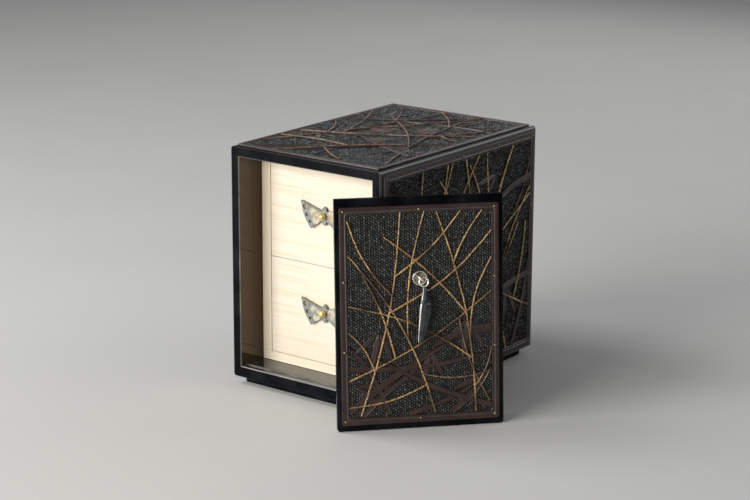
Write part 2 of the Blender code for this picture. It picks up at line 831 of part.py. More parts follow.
def make_pull(face):
    """A rosette with an arched eye, and the ring and pod that swing in it."""
    up = ROSETTE_FROM_BOTTOM - LID_HEIGHT / 2
    rosette_back = GAP + WEAVE_THICKNESS + GAP
    rosette = loft("pull_rosette", rosette_loops(), PEWTER, face, (0.0, up, rosette_back))
    smooth(rosette)
    eye_foot = rosette_back + ROSETTE_THICKNESS * 0.6 + GAP
    wire("pull_eye", eye_points(), EYE_WIRE, SILVER, face, (0.0, up, eye_foot))
    axis_height = eye_foot + EYE_LEG + RING_IN_EYE
    swing = add_empty("pull_swing", (0.0, up, axis_height), (-PULL_OUT_TILT, 0.0, 0.0), face)
    ring_centre = Vector((RING_RADIUS * cos(EYE_TURN), RING_RADIUS * sin(EYE_TURN), 0.0))
    bpy.ops.mesh.primitive_torus_add(
        major_radius=RING_RADIUS,
        minor_radius=RING_WIRE,
        major_segments=24,
        minor_segments=8,
    )
    ring = bpy.context.object
    ring.name = "pull_ring"
    ring.data.materials.append(SILVER)
    for collection in list(ring.users_collection):
        collection.objects.unlink(ring)
    PARTS.objects.link(ring)
    ring.parent = swing
    ring.location = ring_centre
    smooth(ring)
    neck = ring_centre - Vector((0.0, RING_RADIUS + RING_WIRE + GAP, 0.0))
    pod = loft("pull_pod", pod_loops(), SILVER, swing, neck)
    pod.rotation_euler = Euler((0.0, 0.0, -POD_SIDE_TILT))


def main():
    make_case()
    make_plinth()
    dress_case()
    make_cabinet()
    make_drawers()
    make_lid()


main()
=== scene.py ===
"""The looks of a personal seal box: black lacquer, woven grounds with canes, leaves and blossoms on
them, moulded frames with studs, pale wood drawers with butterfly pulls, and a drop pull.

Metres, +Z up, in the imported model's frame. The case's open front faces -Y."""

from math import asin, cos, pi, radians, sin
from random import Random

import bmesh
import bpy
import numpy as np
from mathutils import Euler, Matrix, Vector


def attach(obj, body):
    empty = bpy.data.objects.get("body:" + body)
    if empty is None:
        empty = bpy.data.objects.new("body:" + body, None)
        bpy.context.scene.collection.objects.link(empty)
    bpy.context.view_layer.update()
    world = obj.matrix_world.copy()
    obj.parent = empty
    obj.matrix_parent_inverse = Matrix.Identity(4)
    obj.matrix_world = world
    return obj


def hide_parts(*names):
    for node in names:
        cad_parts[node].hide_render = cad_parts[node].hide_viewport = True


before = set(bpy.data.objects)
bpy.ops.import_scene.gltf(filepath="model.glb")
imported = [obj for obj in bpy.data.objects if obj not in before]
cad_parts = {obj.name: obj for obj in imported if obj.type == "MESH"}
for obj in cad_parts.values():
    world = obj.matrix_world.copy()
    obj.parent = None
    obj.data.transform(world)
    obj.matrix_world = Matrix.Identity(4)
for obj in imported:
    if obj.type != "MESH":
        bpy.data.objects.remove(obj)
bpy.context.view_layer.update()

# Left between two pieces that touch
GAP = 0.0003

# Case
CASE_WIDTH = 0.159
CASE_DEPTH = 0.229
CASE_HEIGHT = 0.205
PLINTH_HEIGHT = 0.0065
CASE_TOP = PLINTH_HEIGHT + CASE_HEIGHT
CASE_FRONT = -CASE_DEPTH / 2
CASE_MIDDLE = PLINTH_HEIGHT + CASE_HEIGHT / 2
CASE_CORNER_RADIUS = 0.0026
CASE_EDGE_RADIUS = 0.001
WALL = 0.0086
OPENING_HALF = CASE_WIDTH / 2 - WALL
OPENING_LOW = PLINTH_HEIGHT + 0.01
OPENING_HIGH = CASE_TOP - WALL
CAVITY_BACK = CASE_DEPTH / 2 - WALL
MOUTH_CHAMFER = 0.0007
GROOVE_FRONT = CASE_FRONT + 0.0039
GROOVE_BACK = GROOVE_FRONT + 0.0049
SILL_GROOVE_DEPTH = 0.002
LINTEL_GROOVE_DEPTH = 0.0066
CASE_NODES = ("case_floor", "case_left", "case_right", "case_back", "case_lintel", "case_roof")
# How far from the opening's sides the cabinet's side boards reach
SIDE_BOARD = 0.0096
# The middle, the turn, the width and the height of each face
FACES = {
    "top": ((0.0, 0.0, CASE_TOP), (0.0, 0.0, 0.0), CASE_WIDTH, CASE_DEPTH),
    "right": ((CASE_WIDTH / 2, 0.0, CASE_MIDDLE), (pi / 2, 0.0, pi / 2), CASE_DEPTH, CASE_HEIGHT),
    "left": ((-CASE_WIDTH / 2, 0.0, CASE_MIDDLE), (pi / 2, 0.0, -pi / 2), CASE_DEPTH, CASE_HEIGHT),
    "back": ((0.0, -CASE_FRONT, CASE_MIDDLE), (pi / 2, 0.0, pi), CASE_WIDTH, CASE_HEIGHT),
}

# Lid
LID_WIDTH = 0.1394
LID_HEIGHT = 0.1922
LID_THICKNESS = 0.0045
LID_TOP_RADIUS = 0.0013
LID_BOTTOM_RADIUS = 0.0025
LID_EDGE_RADIUS = 0.0006
LID_FOOT = Vector((0.117937, -0.107962, 0.000459))
LID_TURN = radians(47.56)
LID_LEAN = radians(5.85)

# Frames. Their profile is (distance in from the outer edge, height above the frame's back)
FRAME_INSET = 0.0039
LID_FRAME_INSET_SIDES = 0.0038
LID_FRAME_INSET_ENDS = 0.0061
LID_FRAME_DROP = 0.0011
FRAME_RAIL = 0.0061
FRAME_OUTER_RADIUS = 0.0022
FRAME_INNER_RADIUS = 0.003
FRAME_PROFILE = (
    (0.0, 0.0), (0.0, 0.00085), (0.00012, 0.00112), (0.0004, 0.00128), (0.0008, 0.0013),
    (0.0022, 0.00126), (0.0031, 0.0013), (0.00335, 0.00122), (0.0035, 0.001), (0.0038, 0.00086),
    (0.0042, 0.00086), (0.0045, 0.001), (0.00465, 0.0012), (0.0051, 0.00126), (0.0056, 0.00124),
    (0.0059, 0.00105), (FRAME_RAIL, 0.00075), (FRAME_RAIL, 0.0),
)
# The strips of that profile which are the pale inlaid line
INLAY_STRIPS = (8, 9, 10)
STUD_INSET = 0.0033
STUD_RADIUS = 0.0013
STUD_RISE = 0.0007
STUD_FOOT = 0.0012
STUD_SUNK = 0.0004

# Woven ground: ribs side by side, and the beads along them
RIB_PITCH = 0.002
BEAD_PITCH = 0.0024
BEAD_LEVELS = (0.62, 1.0)
BEAD_SLANTS = (0.2, 0.6)
BEAD_MOVES = (-0.15, 0.15)
RIB_SHIFTS = (-0.1, 0.1)
RIB_WANDER = 0.1
WEAVE_LOW = 0.0001
WEAVE_RISE = 0.0012

# Leaves, blades and canes, by their height above the face
LEAF_LOW = 0.0009
LEAF_RISE = 0.0009
LEAF_WIDTH_TO_LENGTH = 0.15
LEAF_SPACING = 36
LEAF_SHORTENING = 0.16
LEAF_TIP = 0.00012
LEAF_STEPS = 18
HUB_RADIUS = 0.0014
# How far round its section a leaf's midrib is
MIDRIB = 0.444
BLADE_LOW = 0.0005
BLADE_RISE = 0.0014
BLADE_RISE_STEP = 0.16
BLADE_TIP = 0.05
CANE_RADIUS = 0.00085
CANE_HEIGHT = 0.0016
CANE_LAYER = 0.0002
CANE_NODE_SPACING = 0.01
CANE_JOG = 0.00016
CANE_TAPER = 0.32
CANE_SWELLING = 1.16
# Between two points of a strip
STEP = 0.002
# How far apart a mapped skin's loops count as being
LOFT_STRIP = 0.0005

# The ornament of each face, in millimetres and degrees
# Leaf sprays: (across, up, middle leaf's direction, leaves, longest leaf)
SPRAYS = {
    "lid": (
        (-34, -14, 258, 3, 36), (8, -30, 258, 3, 38), (40, -6, 262, 3, 36), (-54, -58, 337, 2, 36),
        (54, -52, 226, 2, 36),
    ),
    "top": (
        (-44, 52, 66, 3, 36), (40, 88, 212, 3, 36), (-50, -30, 300, 3, 36), (50, -34, 250, 3, 36),
        (-4, -68, 258, 2, 32),
    ),
    "right": (
        (-76, -20, 262, 3, 44), (-28, -38, 264, 3, 44), (18, -22, 272, 3, 44), (70, -34, 262, 3, 44),
        (-70, 52, 36, 3, 36), (52, 70, 206, 2, 36),
    ),
    "left": ((-34, -24, 252, 3, 44), (44, -30, 286, 3, 44)),
    "back": ((-28, -30, 252, 3, 40), (30, -40, 290, 3, 36)),
}
# Blossoms on the top: (across, up, turn, radius)
BLOSSOMS = ((-12, 12, 10, 13), (22, 30, 40, 11.5), (8, -26, 70, 10.5))
# A petal's shape, as (part of its reach, part of its rise), from its rim inwards; how deep the
# notch between two of them is, and the dip; and the boss, as (part of the radius, rise)
PETAL_PROFILE = ((1.0, 0.0), (1.0, 0.5), (0.94, 0.85), (0.8, 1.0), (0.5, 0.86), (0.2, 0.6))
PETAL_NOTCH = 0.34
PETAL_DIP = 0.85
BOSS = (0.16, 0.0007)
# Cane stems: from (across, up) to (across, up), and how far the middle bows to the right
STEMS = {
    "lid": (
        (-50, -83.5, -16, 83.5, 7), (46, -83.5, 14, 83.5, 8), (12, -83.5, -59.5, 50, 10),
        (-59.5, -54, 59.5, 16, 6),
    ),
    "top": (
        (-69, -84, -10, 104, 9), (69, -92, 22, 104, -8), (-34, -104, 69, -4, -6),
        (-69, -34, 69, 40, 8),
    ),
    "right": (
        (-94, -92, -58, 92, 7), (-42, -92, -22, 92, -6), (22, -92, 4, 92, 6), (70, -92, 36, 92, -7),
        (-104, -48, 104, 44, 10), (104, -60, -30, 30, -8),
    ),
    "left": ((-70, -92, -40, 92, 6), (64, -92, 30, 92, -7), (-104, -50, 104, 20, 8)),
    "back": ((-44, -92, -18, 92, 5), (42, -92, 16, 92, -6), (-69, -50, 69, 20, 6)),
}
# Twigs: the stem each leaves and how far along it, its end (across, up) and its bow
TWIGS = {
    "lid": (
        (0, 0.22, -59.5, -14, 3), (0, 0.52, 59.5, 66, 7), (0, 0.6, -59.5, 78, -5),
        (0, 0.7, 34, 83.5, 4), (1, 0.26, -59.5, 8, 7), (1, 0.36, 59.5, 44, -5), (1, 0.48, -30, 64, 4),
        (1, 0.74, 52, 83.5, -2), (1, 0.12, 59.5, -30, 3), (2, 0.22, 59.5, -50, 5),
        (2, 0.16, -59.5, -76, -4), (2, 0.44, 4, 83.5, -5), (3, 0.76, 58, -76, 4), (3, 0.3, -48, 34, 3),
    ),
    "top": (
        (0, 0.3, -69, 16, 3), (0, 0.46, 30, 104, 6), (0, 0.66, -60, 104, 3), (1, 0.3, -40, 60, 6),
        (1, 0.52, 69, 76, 3), (1, 0.74, -16, 104, 3), (2, 0.26, 30, -104, 2), (2, 0.4, -69, -60, 5),
        (3, 0.24, -69, 70, 4), (3, 0.8, 69, 10, 2),
    ),
    "right": (
        (0, 0.36, -104, 40, -4), (0, 0.48, -16, 92, 5), (1, 0.3, -92, 76, 8), (1, 0.44, 24, 92, -5),
        (2, 0.26, 86, 20, 6), (2, 0.5, -34, 80, 3), (3, 0.34, 104, 50, -5), (3, 0.5, 10, 86, 4),
        (3, 0.62, 76, 92, -3), (4, 0.86, 104, 76, 2), (5, 0.16, 98, 20, 3), (4, 0.12, -104, 6, 3),
    ),
    "left": ((0, 0.34, 20, 80, -6), (0, 0.5, -104, 60, -4), (1, 0.4, -16, 70, 5), (1, 0.3, 104, 60, -4)),
    "back": ((0, 0.36, 50, 86, -6), (1, 0.44, -60, 80, 6), (1, 0.3, 69, 40, -4)),
}
# Long dark blades: from (across, up) to (across, up), the width and the bow
BLADES = {
    "lid": (
        (-59.5, -44, 59.5, -34, 5, 6), (-59.5, -80, 30, -22, 5.6, -3), (59.5, -80, -36, -36, 5.2, -4),
        (59.5, -14, 6, -30, 7.8, 3), (-26, -83.5, -59.5, -24, 4.6, 3), (26, -83.5, 59.5, -46, 5, 3),
        (-10, -83.5, 50, -58, 4.4, 3), (-48, -83.5, 0, -44, 4.4, -2),
    ),
    "top": (
        (-69, 30, 20, 90, 4.6, 4), (69, -60, -30, -10, 4.6, -4), (-60, -104, 30, -40, 4.4, 5),
        (69, 60, -20, 50, 4.4, 4),
    ),
    "right": (
        (-104, -60, 20, -20, 5.4, 6), (-50, -92, 50, 0, 5, 5), (40, -92, -20, 10, 5, 4),
        (104, -30, 0, -56, 5.2, 5), (-104, 40, -40, 62, 6, -6), (104, 60, 40, 40, 6, 4),
        (80, -92, 104, -10, 5, 4),
    ),
    "left": ((-104, -60, 40, -30, 5.2, 6), (104, -50, -30, -40, 5, 5), (20, -92, 80, 10, 5, 4)),
    "back": ((-69, -64, 50, -30, 5, 5), (69, -50, -40, -44, 4.8, 5)),
}

# Drop pull, from the lid's face
PULL_UP = 0.125 - LID_HEIGHT / 2
ROSETTE_BACK = 0.001
ROSETTE_RADIUS = 0.0063
ROSETTE_SCALLOPS = 14
ROSETTE_SCALLOP_DEPTH = 0.0003
ROSETTE_SCALLOP_FADE = 0.0015
ROSETTE_FLUTE_DEPTH = 0.00016
# From its rim inwards, as (inset, height, how deep the flutes are)
ROSETTE_STATIONS = (
    (0.0, 0.0, 0.0), (0.0, 0.0006, 0.0), (0.00015, 0.0009, 0.0), (0.0005, 0.001, 0.0),
    (0.0009, 0.0009, 0.0), (0.0012, 0.0006, 0.0), (0.0018, 0.00055, 1.0), (0.0032, 0.0005, 1.0),
    (0.0042, 0.0005, 0.5), (0.005, 0.0006, 0.0),
)
ROSETTE_FIELD_STRIPS = (5, 6, 7, 8)
EYE_FOOT = ROSETTE_BACK + 0.0009
EYE_RADIUS = 0.0028
EYE_WIRE = 0.0007
EYE_TURN = radians(-45)
EYE_LEG = 0.002
RING_RADIUS = 0.0037
RING_WIRE = 0.00065
RING_IN_EYE = 0.0006
# How much further the ring reaches at the pod, and along which part of it
RING_PINCH = 0.1
RING_PINCH_REACH = 0.1
POD_LENGTH = 0.0454
# The pod's outline, as (across, out) from its middle line, for a radius of one
POD_SECTION = (
    (-0.76, 0.5), (0.02, 0.8), (0.92, 0.3), (0.92, -0.36),
    (0.45, -0.74), (-0.45, -0.74), (-0.96, -0.3), (-0.96, 0.26),
)
POD_BOW = 0.0023
# Its edges: their radius, and from which angle in degrees they count
POD_EDGE_RADIUS = 0.00012
POD_SHARP = 22
POD_SIDE_TILT = radians(5.2)
PULL_OUT_TILT = radians(3.5)
# Its radius, as (distance down, radius)
POD_PROFILE = (
    (0.0, 0.0009), (0.0014, 0.0018), (0.003, 0.0022), (0.0104, 0.0041), (0.0107, 0.0039),
    (0.011, 0.0045), (0.0115, 0.0045), (0.0117, 0.0041), (0.012, 0.0045), (0.0125, 0.0045),
    (0.0128, 0.0042), (0.0134, 0.0047), (0.0165, 0.005), (0.02, 0.0049), (0.026, 0.0044),
    (0.035, 0.0036), (0.043, 0.0025), (POD_LENGTH, 0.0017),
)
# Under the pod the canes are pressed in: the place's half width, low and high ends, its depth, and
# how far the depth takes to fade out round it
PRESSED_HALF = 0.009
PRESSED_LOW = PULL_UP - 0.034
PRESSED_HIGH = PULL_UP - 0.013
PRESSED_DEPTH = 0.001
PRESSED_FADE = 0.006

# Butterfly pulls: half of each outline as (across, up) from the stud, and the drawers' heights
CABINET_FRONT = CASE_FRONT + 0.03
DRAWER_STUDS = {"upper": 0.15685, "lower": 0.07115}
BUTTERFLY_BACK = 0.0012
BUTTERFLY_THICKNESS = 0.002
BUTTERFLY_EDGE = 0.0003
BODY_TOP = (0.0, 0.0081)
BODY_SHOULDER_TOP = (0.0027, 0.0048)
BODY_SHOULDER_BOTTOM = (0.0022, -0.006)
BODY_BOTTOM = (0.0, -0.0086)
BODY_BULGE = 0.0003
WING_ROOT_TOP = (0.0022, 0.0037)
WING_ROOT_BOTTOM = (0.0025, -0.0045)
WING_TIP_TOP = (0.0252, 0.0104)
WING_TIP_BOTTOM = (0.0146, -0.0129)
WING_BULGE = 0.002
WING_HOLES = ((0.0207, 0.0053, 0.0021), (0.0187, -0.0015, 0.0016), (0.0155, -0.0071, 0.0012))
# Pale patches near the wings' roots: (across, up, radius)
UPPER_PATCHES = (
    (-0.012, 0.002, 0.0036), (-0.0078, -0.0006, 0.0044), (-0.0092, -0.0052, 0.0034),
    (0.008, 0.0, 0.005), (0.0126, 0.0006, 0.0058),
)
LOWER_PATCHES = (
    (-0.0122, 0.0018, 0.003), (-0.0084, -0.0056, 0.0034), (-0.007, 0.0004, 0.0026),
    (0.0084, -0.0004, 0.005), (0.0132, -0.0016, 0.0056),
)
STUD_COLLAR_RADIUS = 0.003
STUD_POST_RADIUS = 0.0019
STUD_BALL_RADIUS = 0.003

# Camera: where it stands, its turn from +Y, its pitch down and its roll, and its lens
CAMERA_PLACE = (1.0939, -1.4603, 0.6083)
CAMERA_YAW = radians(37.1445)
CAMERA_PITCH = radians(15.3211)
CAMERA_ROLL = radians(0.2474)
CAMERA_LENS = 103.2


def metres(*millimetres):
    return tuple(size / 1000 for size in millimetres)


def given(thing, **settings):
    """The thing, with its settings made."""
    for name, value in settings.items():
        setattr(thing, name, value)
    return thing


class Look:
    """A material of nodes. Most calls add a node and give the socket that carries its result."""

    def __init__(self, name, roughness, metallic=0.0, specular=0.5):
        self.material = bpy.data.materials.new(name)
        self.material.use_nodes = True
        self.tree = self.material.node_tree
        self.shader = self.tree.nodes["Principled BSDF"].inputs
        self.shader["Roughness"].default_value = roughness
        self.shader["Metallic"].default_value = metallic
        self.shader["Specular IOR Level"].default_value = specular
        self.place = self.node("TexCoord", {})["Object"]

    def feed(self, socket, value):
        """Links a socket to another node's output, or sets it."""
        if isinstance(value, bpy.types.NodeSocket):
            self.tree.links.new(value, socket)
        elif isinstance(value, tuple) and len(value) == 3 and socket.type == "RGBA":
            socket.default_value = (*value, 1.0)
        else:
            socket.default_value = value

    def node(self, kind, inputs, **settings):
        """A new node's outputs."""
        made = given(self.tree.nodes.new("ShaderNode" + kind), **settings)
        for name, value in inputs.items():
            self.feed(made.inputs[name], value)
        return made.outputs

    def along(self):
        """Metres along a strip, and 0 to 1 or metres across it."""
        return self.node("UVMap", {}, uv_map="along")["UV"]

    def parts(self, place):
        return self.node("SeparateXYZ", {"Vector": place})

    def joined(self, x, y, z):
        return self.node("CombineXYZ", {"X": x, "Y": y, "Z": z})["Vector"]

    def noise(self, scale, detail, place=None, turn=(0.0, 0.0, 0.0)):
        """Noise of one scale, or of three, where the place is stretched and turned first."""
        place = self.place if place is None else place
        if isinstance(scale, tuple):
            stretch = {"Vector": place, "Scale": scale, "Rotation": turn}
            place, scale = self.node("Mapping", stretch)["Vector"], 1.0
        inputs = {"Vector": place, "Scale": scale, "Detail": detail}
        return self.node("TexNoise", inputs)["Fac"]

    def remap(self, value, low, high, to_low=0.0, to_high=1.0):
        ends = {"From Min": low, "From Max": high, "To Min": to_low, "To Max": to_high}
        return self.node("MapRange", {"Value": value, **ends})["Result"]

    def math(self, operation, first, second=0.0):
        return self.node("Math", {0: first, 1: second}, operation=operation)[0]

    def blend(self, factor, first, second):
        return self.node("Mix", {0: factor, 6: first, 7: second}, data_type="RGBA")[2]

    def finish(self, color, roughness, height, distance):
        """The material, with its colour, roughness and bump fed."""
        bump = self.node("Bump", {"Height": height, "Distance": distance, "Strength": 1.0})
        self.feed(self.shader["Base Color"], color)
        self.feed(self.shader["Roughness"], roughness)
        self.feed(self.shader["Normal"], bump["Normal"])
        return self.material


def lacquer_look(name, color, cloudy, smoothest, roughest, specular=0.5, tint=(1.0, 1.0, 1.0)):
    """Polished lacquer, slightly cloudy, with a few specks of dust."""
    look = Look(name, smoothest, 0.0, specular)
    look.feed(look.shader["Specular Tint"], tint)
    cloud = look.noise(38.0, 5.0)
    mixed = look.blend(look.remap(cloud, 0.45, 0.72), color, cloudy)
    specks = look.remap(look.noise(1100.0, 1.0), 0.74, 0.8)
    dusty = look.blend(specks, mixed, (0.07, 0.07, 0.068))
    rough = look.remap(cloud, 0.3, 0.8, smoothest, roughest)
    return look.finish(dusty, rough, look.noise(130.0, 3.0), 0.00001)


def wood_look(name, scale, light, dark, sides_upright=False):
    """Planed wood. The scale is small along the fibres and large across them."""
    look = Look(name, 0.55)
    place = upright_sides(look) if sides_upright else look.place
    bands = look.noise(scale, 4.0, place)
    fibres = look.noise(tuple(6.5 * part for part in scale), 5.0, place)
    tone = look.blend(look.remap(bands, 0.32, 0.68), light, dark)
    lines = look.remap(fibres, 0.5, 0.7, 0.0, 0.55)
    deeper = (0.88 * dark[0], 0.78 * dark[1], 0.66 * dark[2])
    rough = look.remap(fibres, 0.3, 0.7, 0.48, 0.66)
    return look.finish(look.blend(lines, tone, deeper), rough, fibres, 0.00006)


def upright_sides(look):
    """Swaps across and up where the cabinet's side boards are, so that their grain stands."""
    parts = look.parts(look.place)
    across = look.math("ABSOLUTE", parts["X"])
    side = look.math("GREATER_THAN", across, OPENING_HALF - SIDE_BOARD)
    swapped = look.joined(parts["Z"], parts["Y"], parts["X"])
    return look.node("Mix", {0: side, 4: look.place, 5: swapped}, data_type="VECTOR")[1]


def streaked_look(name, color, pale, across, roughness, metallic=0.0, painted_shade_walls=False):
    """Satin lacquer or metal with fine streaks along a strip, and, if asked, painted shade on the
    strip's side walls.
    """
    look = Look(name, roughness, metallic)
    place = look.along()
    streaks = look.noise((45.0, across, 1.0), 5.0, place)
    mixed = look.blend(look.remap(streaks, 0.42, 0.7, 0.0, 0.9), color, pale)
    deep = tuple(0.55 * part for part in color)
    mixed = look.blend(look.remap(look.noise(70.0, 4.0), 0.4, 0.7, 0.6, 0.0), mixed, deep)
    if painted_shade_walls:
        # Painted shade: the section's walls, away from the midrib, are darkened
        off_middle = look.math("SUBTRACT", look.parts(place)["Y"], MIDRIB)
        wall_shade = look.remap(look.math("ABSOLUTE", off_middle), 0.31, 0.35)
        mixed = look.blend(wall_shade, mixed, tuple(0.25 * part for part in color))
    rough = look.remap(streaks, 0.3, 0.7, roughness - 0.07, roughness + 0.1)
    return look.finish(mixed, rough, streaks, 0.00008)


def weave_look(name, ground, crest_sheen, glint, specular):
    """Lacquered cane weave: black in the gaps, with painted sheen on the crests and painted glints on
    some beads.
    """
    look = Look(name, 0.34, 0.0, specular)
    height = look.parts(look.place)["Z"]
    # Painted light: the crests are coloured paler than the gaps, so the beads read as lit
    lit_crest = look.remap(height, WEAVE_LOW + 0.6 * WEAVE_RISE, WEAVE_LOW + 0.9 * WEAVE_RISE)
    beads = look.noise((520.0, 300.0, 520.0), 2.0)
    tone = look.blend(look.remap(beads, 0.4, 0.66), crest_sheen, glint)
    fibres = look.noise((2400.0, 300.0, 2400.0), 3.0)
    rough = look.remap(beads, 0.3, 0.7, 0.42, 0.24)
    return look.finish(look.blend(lit_crest, ground, tone), rough, fibres, 0.00005)


def cane_look(name, light, body, dark):
    """Split cane with slanting brown marks and dark stretches, darker at its nodes."""
    look = Look(name, 0.42)
    place = look.along()
    marks = look.noise((560.0, 4.0, 1.0), 3.0, place, (0.0, 0.0, 0.006))
    color = look.blend(look.remap(look.noise(95.0, 4.0), 0.35, 0.68), body, light)
    color = look.blend(look.remap(marks, 0.5, 0.4), color, dark)
    stretches = look.remap(look.noise(26.0, 2.0), 0.5, 0.6, 0.0, 0.85)
    color = look.blend(stretches, color, dark)
    turns = look.math("FRACT", look.math("DIVIDE", look.parts(place)["X"], CANE_NODE_SPACING))
    joint = look.remap(turns, 0.0, 0.06, 0.75, 0.0)
    rough = look.remap(marks, 0.3, 0.7, 0.55, 0.36)
    return look.finish(look.blend(joint, color, dark), rough, marks, 0.00012)


def metal_look(name, color, stain, cover, smoothest, roughest, scale=300.0, metallic=1.0):
    """Bare metal with darker stains."""
    look = Look(name, smoothest, metallic)
    stains = look.noise(scale, 5.0)
    stained = look.blend(look.remap(stains, cover, cover + 0.18), color, stain)
    rough = look.remap(stains, 0.3, 0.7, smoothest, roughest)
    return look.finish(stained, rough, look.noise(500.0, 2.0), 0.000006)


def pewter_look(name, patches, stain):
    """Grey-green pewter with irregular cream patches near the wings' roots; its side walls and back are
    painted brown, a painted reflection of the wood and painted shade.
    """
    look = Look(name, 0.4, 0.4)
    parts = look.parts(look.place)
    flat = look.joined(parts["X"], parts["Y"], 0.0)
    nearest = 1.0
    for x, y, radius in patches:
        away = look.node("VectorMath", {0: flat, 1: (x, y, 0.0)}, operation="DISTANCE")["Value"]
        nearest = look.math("MINIMUM", nearest, look.math("SUBTRACT", away, radius))
    wander = look.remap(look.noise(300.0, 4.0), 0.3, 0.7, -0.0011, 0.0011)
    patch = look.remap(look.math("ADD", nearest, wander), 0.0003, -0.0003)
    mottle = look.noise(360.0, 4.0)
    metal = look.blend(look.remap(mottle, 0.35, 0.65), (0.19, 0.215, 0.205), (0.27, 0.285, 0.255))
    stained = look.remap(look.noise(240.0, 5.0), 0.42, 0.62)
    cream = look.blend(stained, (0.52, 0.49, 0.37), stain)
    spots = look.remap(look.noise(620.0, 3.0), 0.56, 0.66)
    cream = look.blend(spots, cream, (0.24, 0.205, 0.18))
    # Painted reflection and shade: all but the front face is brown, for the wood mirrored in the walls
    # and the shade on them
    side = look.remap(parts["Z"], 0.0007, 0.00088)
    color = look.blend(side, (0.24, 0.17, 0.11), look.blend(patch, metal, cream))
    look.feed(look.shader["Metallic"], look.remap(patch, 0.0, 1.0, 0.35, 0.0))
    return look.finish(color, look.remap(mottle, 0.3, 0.7, 0.34, 0.5), mottle, 0.0001)


def floor_look():
    look = Look("pale floor", 0.85)
    grain = look.blend(look.noise(6.0, 5.0), (0.52, 0.52, 0.51), (0.56, 0.56, 0.55))
    look.feed(look.shader["Base Color"], grain)
    return look.material


LACQUER = lacquer_look(
    "black lacquer", (0.0015, 0.002, 0.003), (0.01, 0.011, 0.014), 0.04, 0.12, 0.09
)
# The inside is black lacquer: its brown base colour and brown reflection tint are a painted reflection
# of the wood
INNER_LACQUER_WOOD_REFLECTION = lacquer_look(
    "inner lacquer with painted wood reflection", (0.018, 0.008, 0.0025), (0.026, 0.012, 0.004), 0.03, 0.07, 0.56, (1.0, 0.78, 0.56)
)
# A greyer, glossier copy of the black lacquer for the cavity's floor: painted sheen
FLOOR_SHEEN_LACQUER = lacquer_look(
    "floor sheen lacquer", (0.012, 0.014, 0.013), (0.024, 0.026, 0.025), 0.1, 0.2, 0.9
)
# A greyer, glossier copy of the black lacquer for the faces that look right: painted sheen
RIGHT_SIDE_SHEEN_LACQUER = lacquer_look(
    "right side sheen lacquer", (0.014, 0.016, 0.015), (0.026, 0.028, 0.027), 0.3, 0.4, 1.0
)
# Lighter lacquer for the mouth's chamfer, a painted highlight, and for the sill groove, wear together
# with a painted highlight on its lit wall
WORN_AND_HIGHLIGHT_LACQUER = lacquer_look("worn lacquer and painted highlight", (0.1, 0.1, 0.1), (0.24, 0.22, 0.19), 0.3, 0.5)
CASE_LACQUERS = (LACQUER, INNER_LACQUER_WOOD_REFLECTION, FLOOR_SHEEN_LACQUER, WORN_AND_HIGHLIGHT_LACQUER, RIGHT_SIDE_SHEEN_LACQUER)
FRONT_WOOD = wood_look("front wood", (2.0, 60.0, 105.0), (0.74, 0.68, 0.58), (0.71, 0.62, 0.49))
TRAY_WOOD = wood_look("tray wood", (80.0, 5.0, 80.0), (0.6, 0.51, 0.38), (0.54, 0.43, 0.3))
CABINET_WOOD = wood_look(
    "cabinet wood", (2.0, 60.0, 105.0), (0.78, 0.7, 0.57), (0.72, 0.61, 0.46), sides_upright=True
)
FRAME_BROWN = streaked_look("brown frame", (0.032, 0.014, 0.012), (0.06, 0.033, 0.029), 2200.0, 0.36)
FRAME_INLAY = streaked_look("inlaid line", (0.07, 0.072, 0.062), (0.12, 0.12, 0.105), 900.0, 0.45, 0.3)
LEAF_BROWN = streaked_look(
    "brown leaf", (0.03, 0.014, 0.012), (0.072, 0.043, 0.037), 26.0, 0.34, painted_shade_walls=True
)
BLOSSOM_BROWN = lacquer_look(
    "blossom brown", (0.055, 0.034, 0.028), (0.13, 0.088, 0.066), 0.4, 0.55, 0.4
)
# One lacquered weave on every face; its crest sheen and glints are set face by face, brightest on the
# top: painted light
LID_WEAVE = weave_look(
    "lid weave", (0.0008, 0.0008, 0.0008), (0.034, 0.034, 0.031), (0.15, 0.15, 0.135), 0.4
)
TOP_WEAVE = weave_look(
    "top weave", (0.0015, 0.0015, 0.002), (0.056, 0.062, 0.065), (0.52, 0.55, 0.56), 0.3
)
SIDE_WEAVE = weave_look(
    "side weave", (0.0008, 0.0008, 0.0008), (0.04, 0.04, 0.037), (0.38, 0.38, 0.36), 0.12
)
GOLD_CANE = cane_look("golden cane", (0.56, 0.38, 0.17), (0.33, 0.18, 0.065), (0.055, 0.024, 0.009))
# A brighter copy of the cane look for the sides, which get less light: painted light
BRIGHTENED_SIDE_CANE = cane_look("side cane brightened for less light", (0.8, 0.56, 0.28), (0.55, 0.34, 0.13), (0.09, 0.04, 0.014))
COPPER_CANE = cane_look("copper cane", (0.3, 0.2, 0.14), (0.19, 0.11, 0.075), (0.04, 0.02, 0.014))
DARK_CANE = cane_look("dark cane", (0.26, 0.18, 0.11), (0.13, 0.085, 0.055), (0.03, 0.018, 0.012))
MAIN_CANES = {"lid": GOLD_CANE, "top": COPPER_CANE}
PEWTER = {
    "upper": pewter_look("upper pewter", UPPER_PATCHES, (0.38, 0.29, 0.2)),
    "lower": pewter_look("lower pewter", LOWER_PATCHES, (0.34, 0.31, 0.23)),
}
RING_SILVER = metal_look("ring silver", (0.95, 0.92, 0.85), (0.66, 0.62, 0.55), 0.6, 0.4, 0.52)
POD_SILVER = metal_look("pod silver", (0.08, 0.09, 0.096), (0.045, 0.05, 0.056), 0.5, 0.18, 0.28, 90.0)
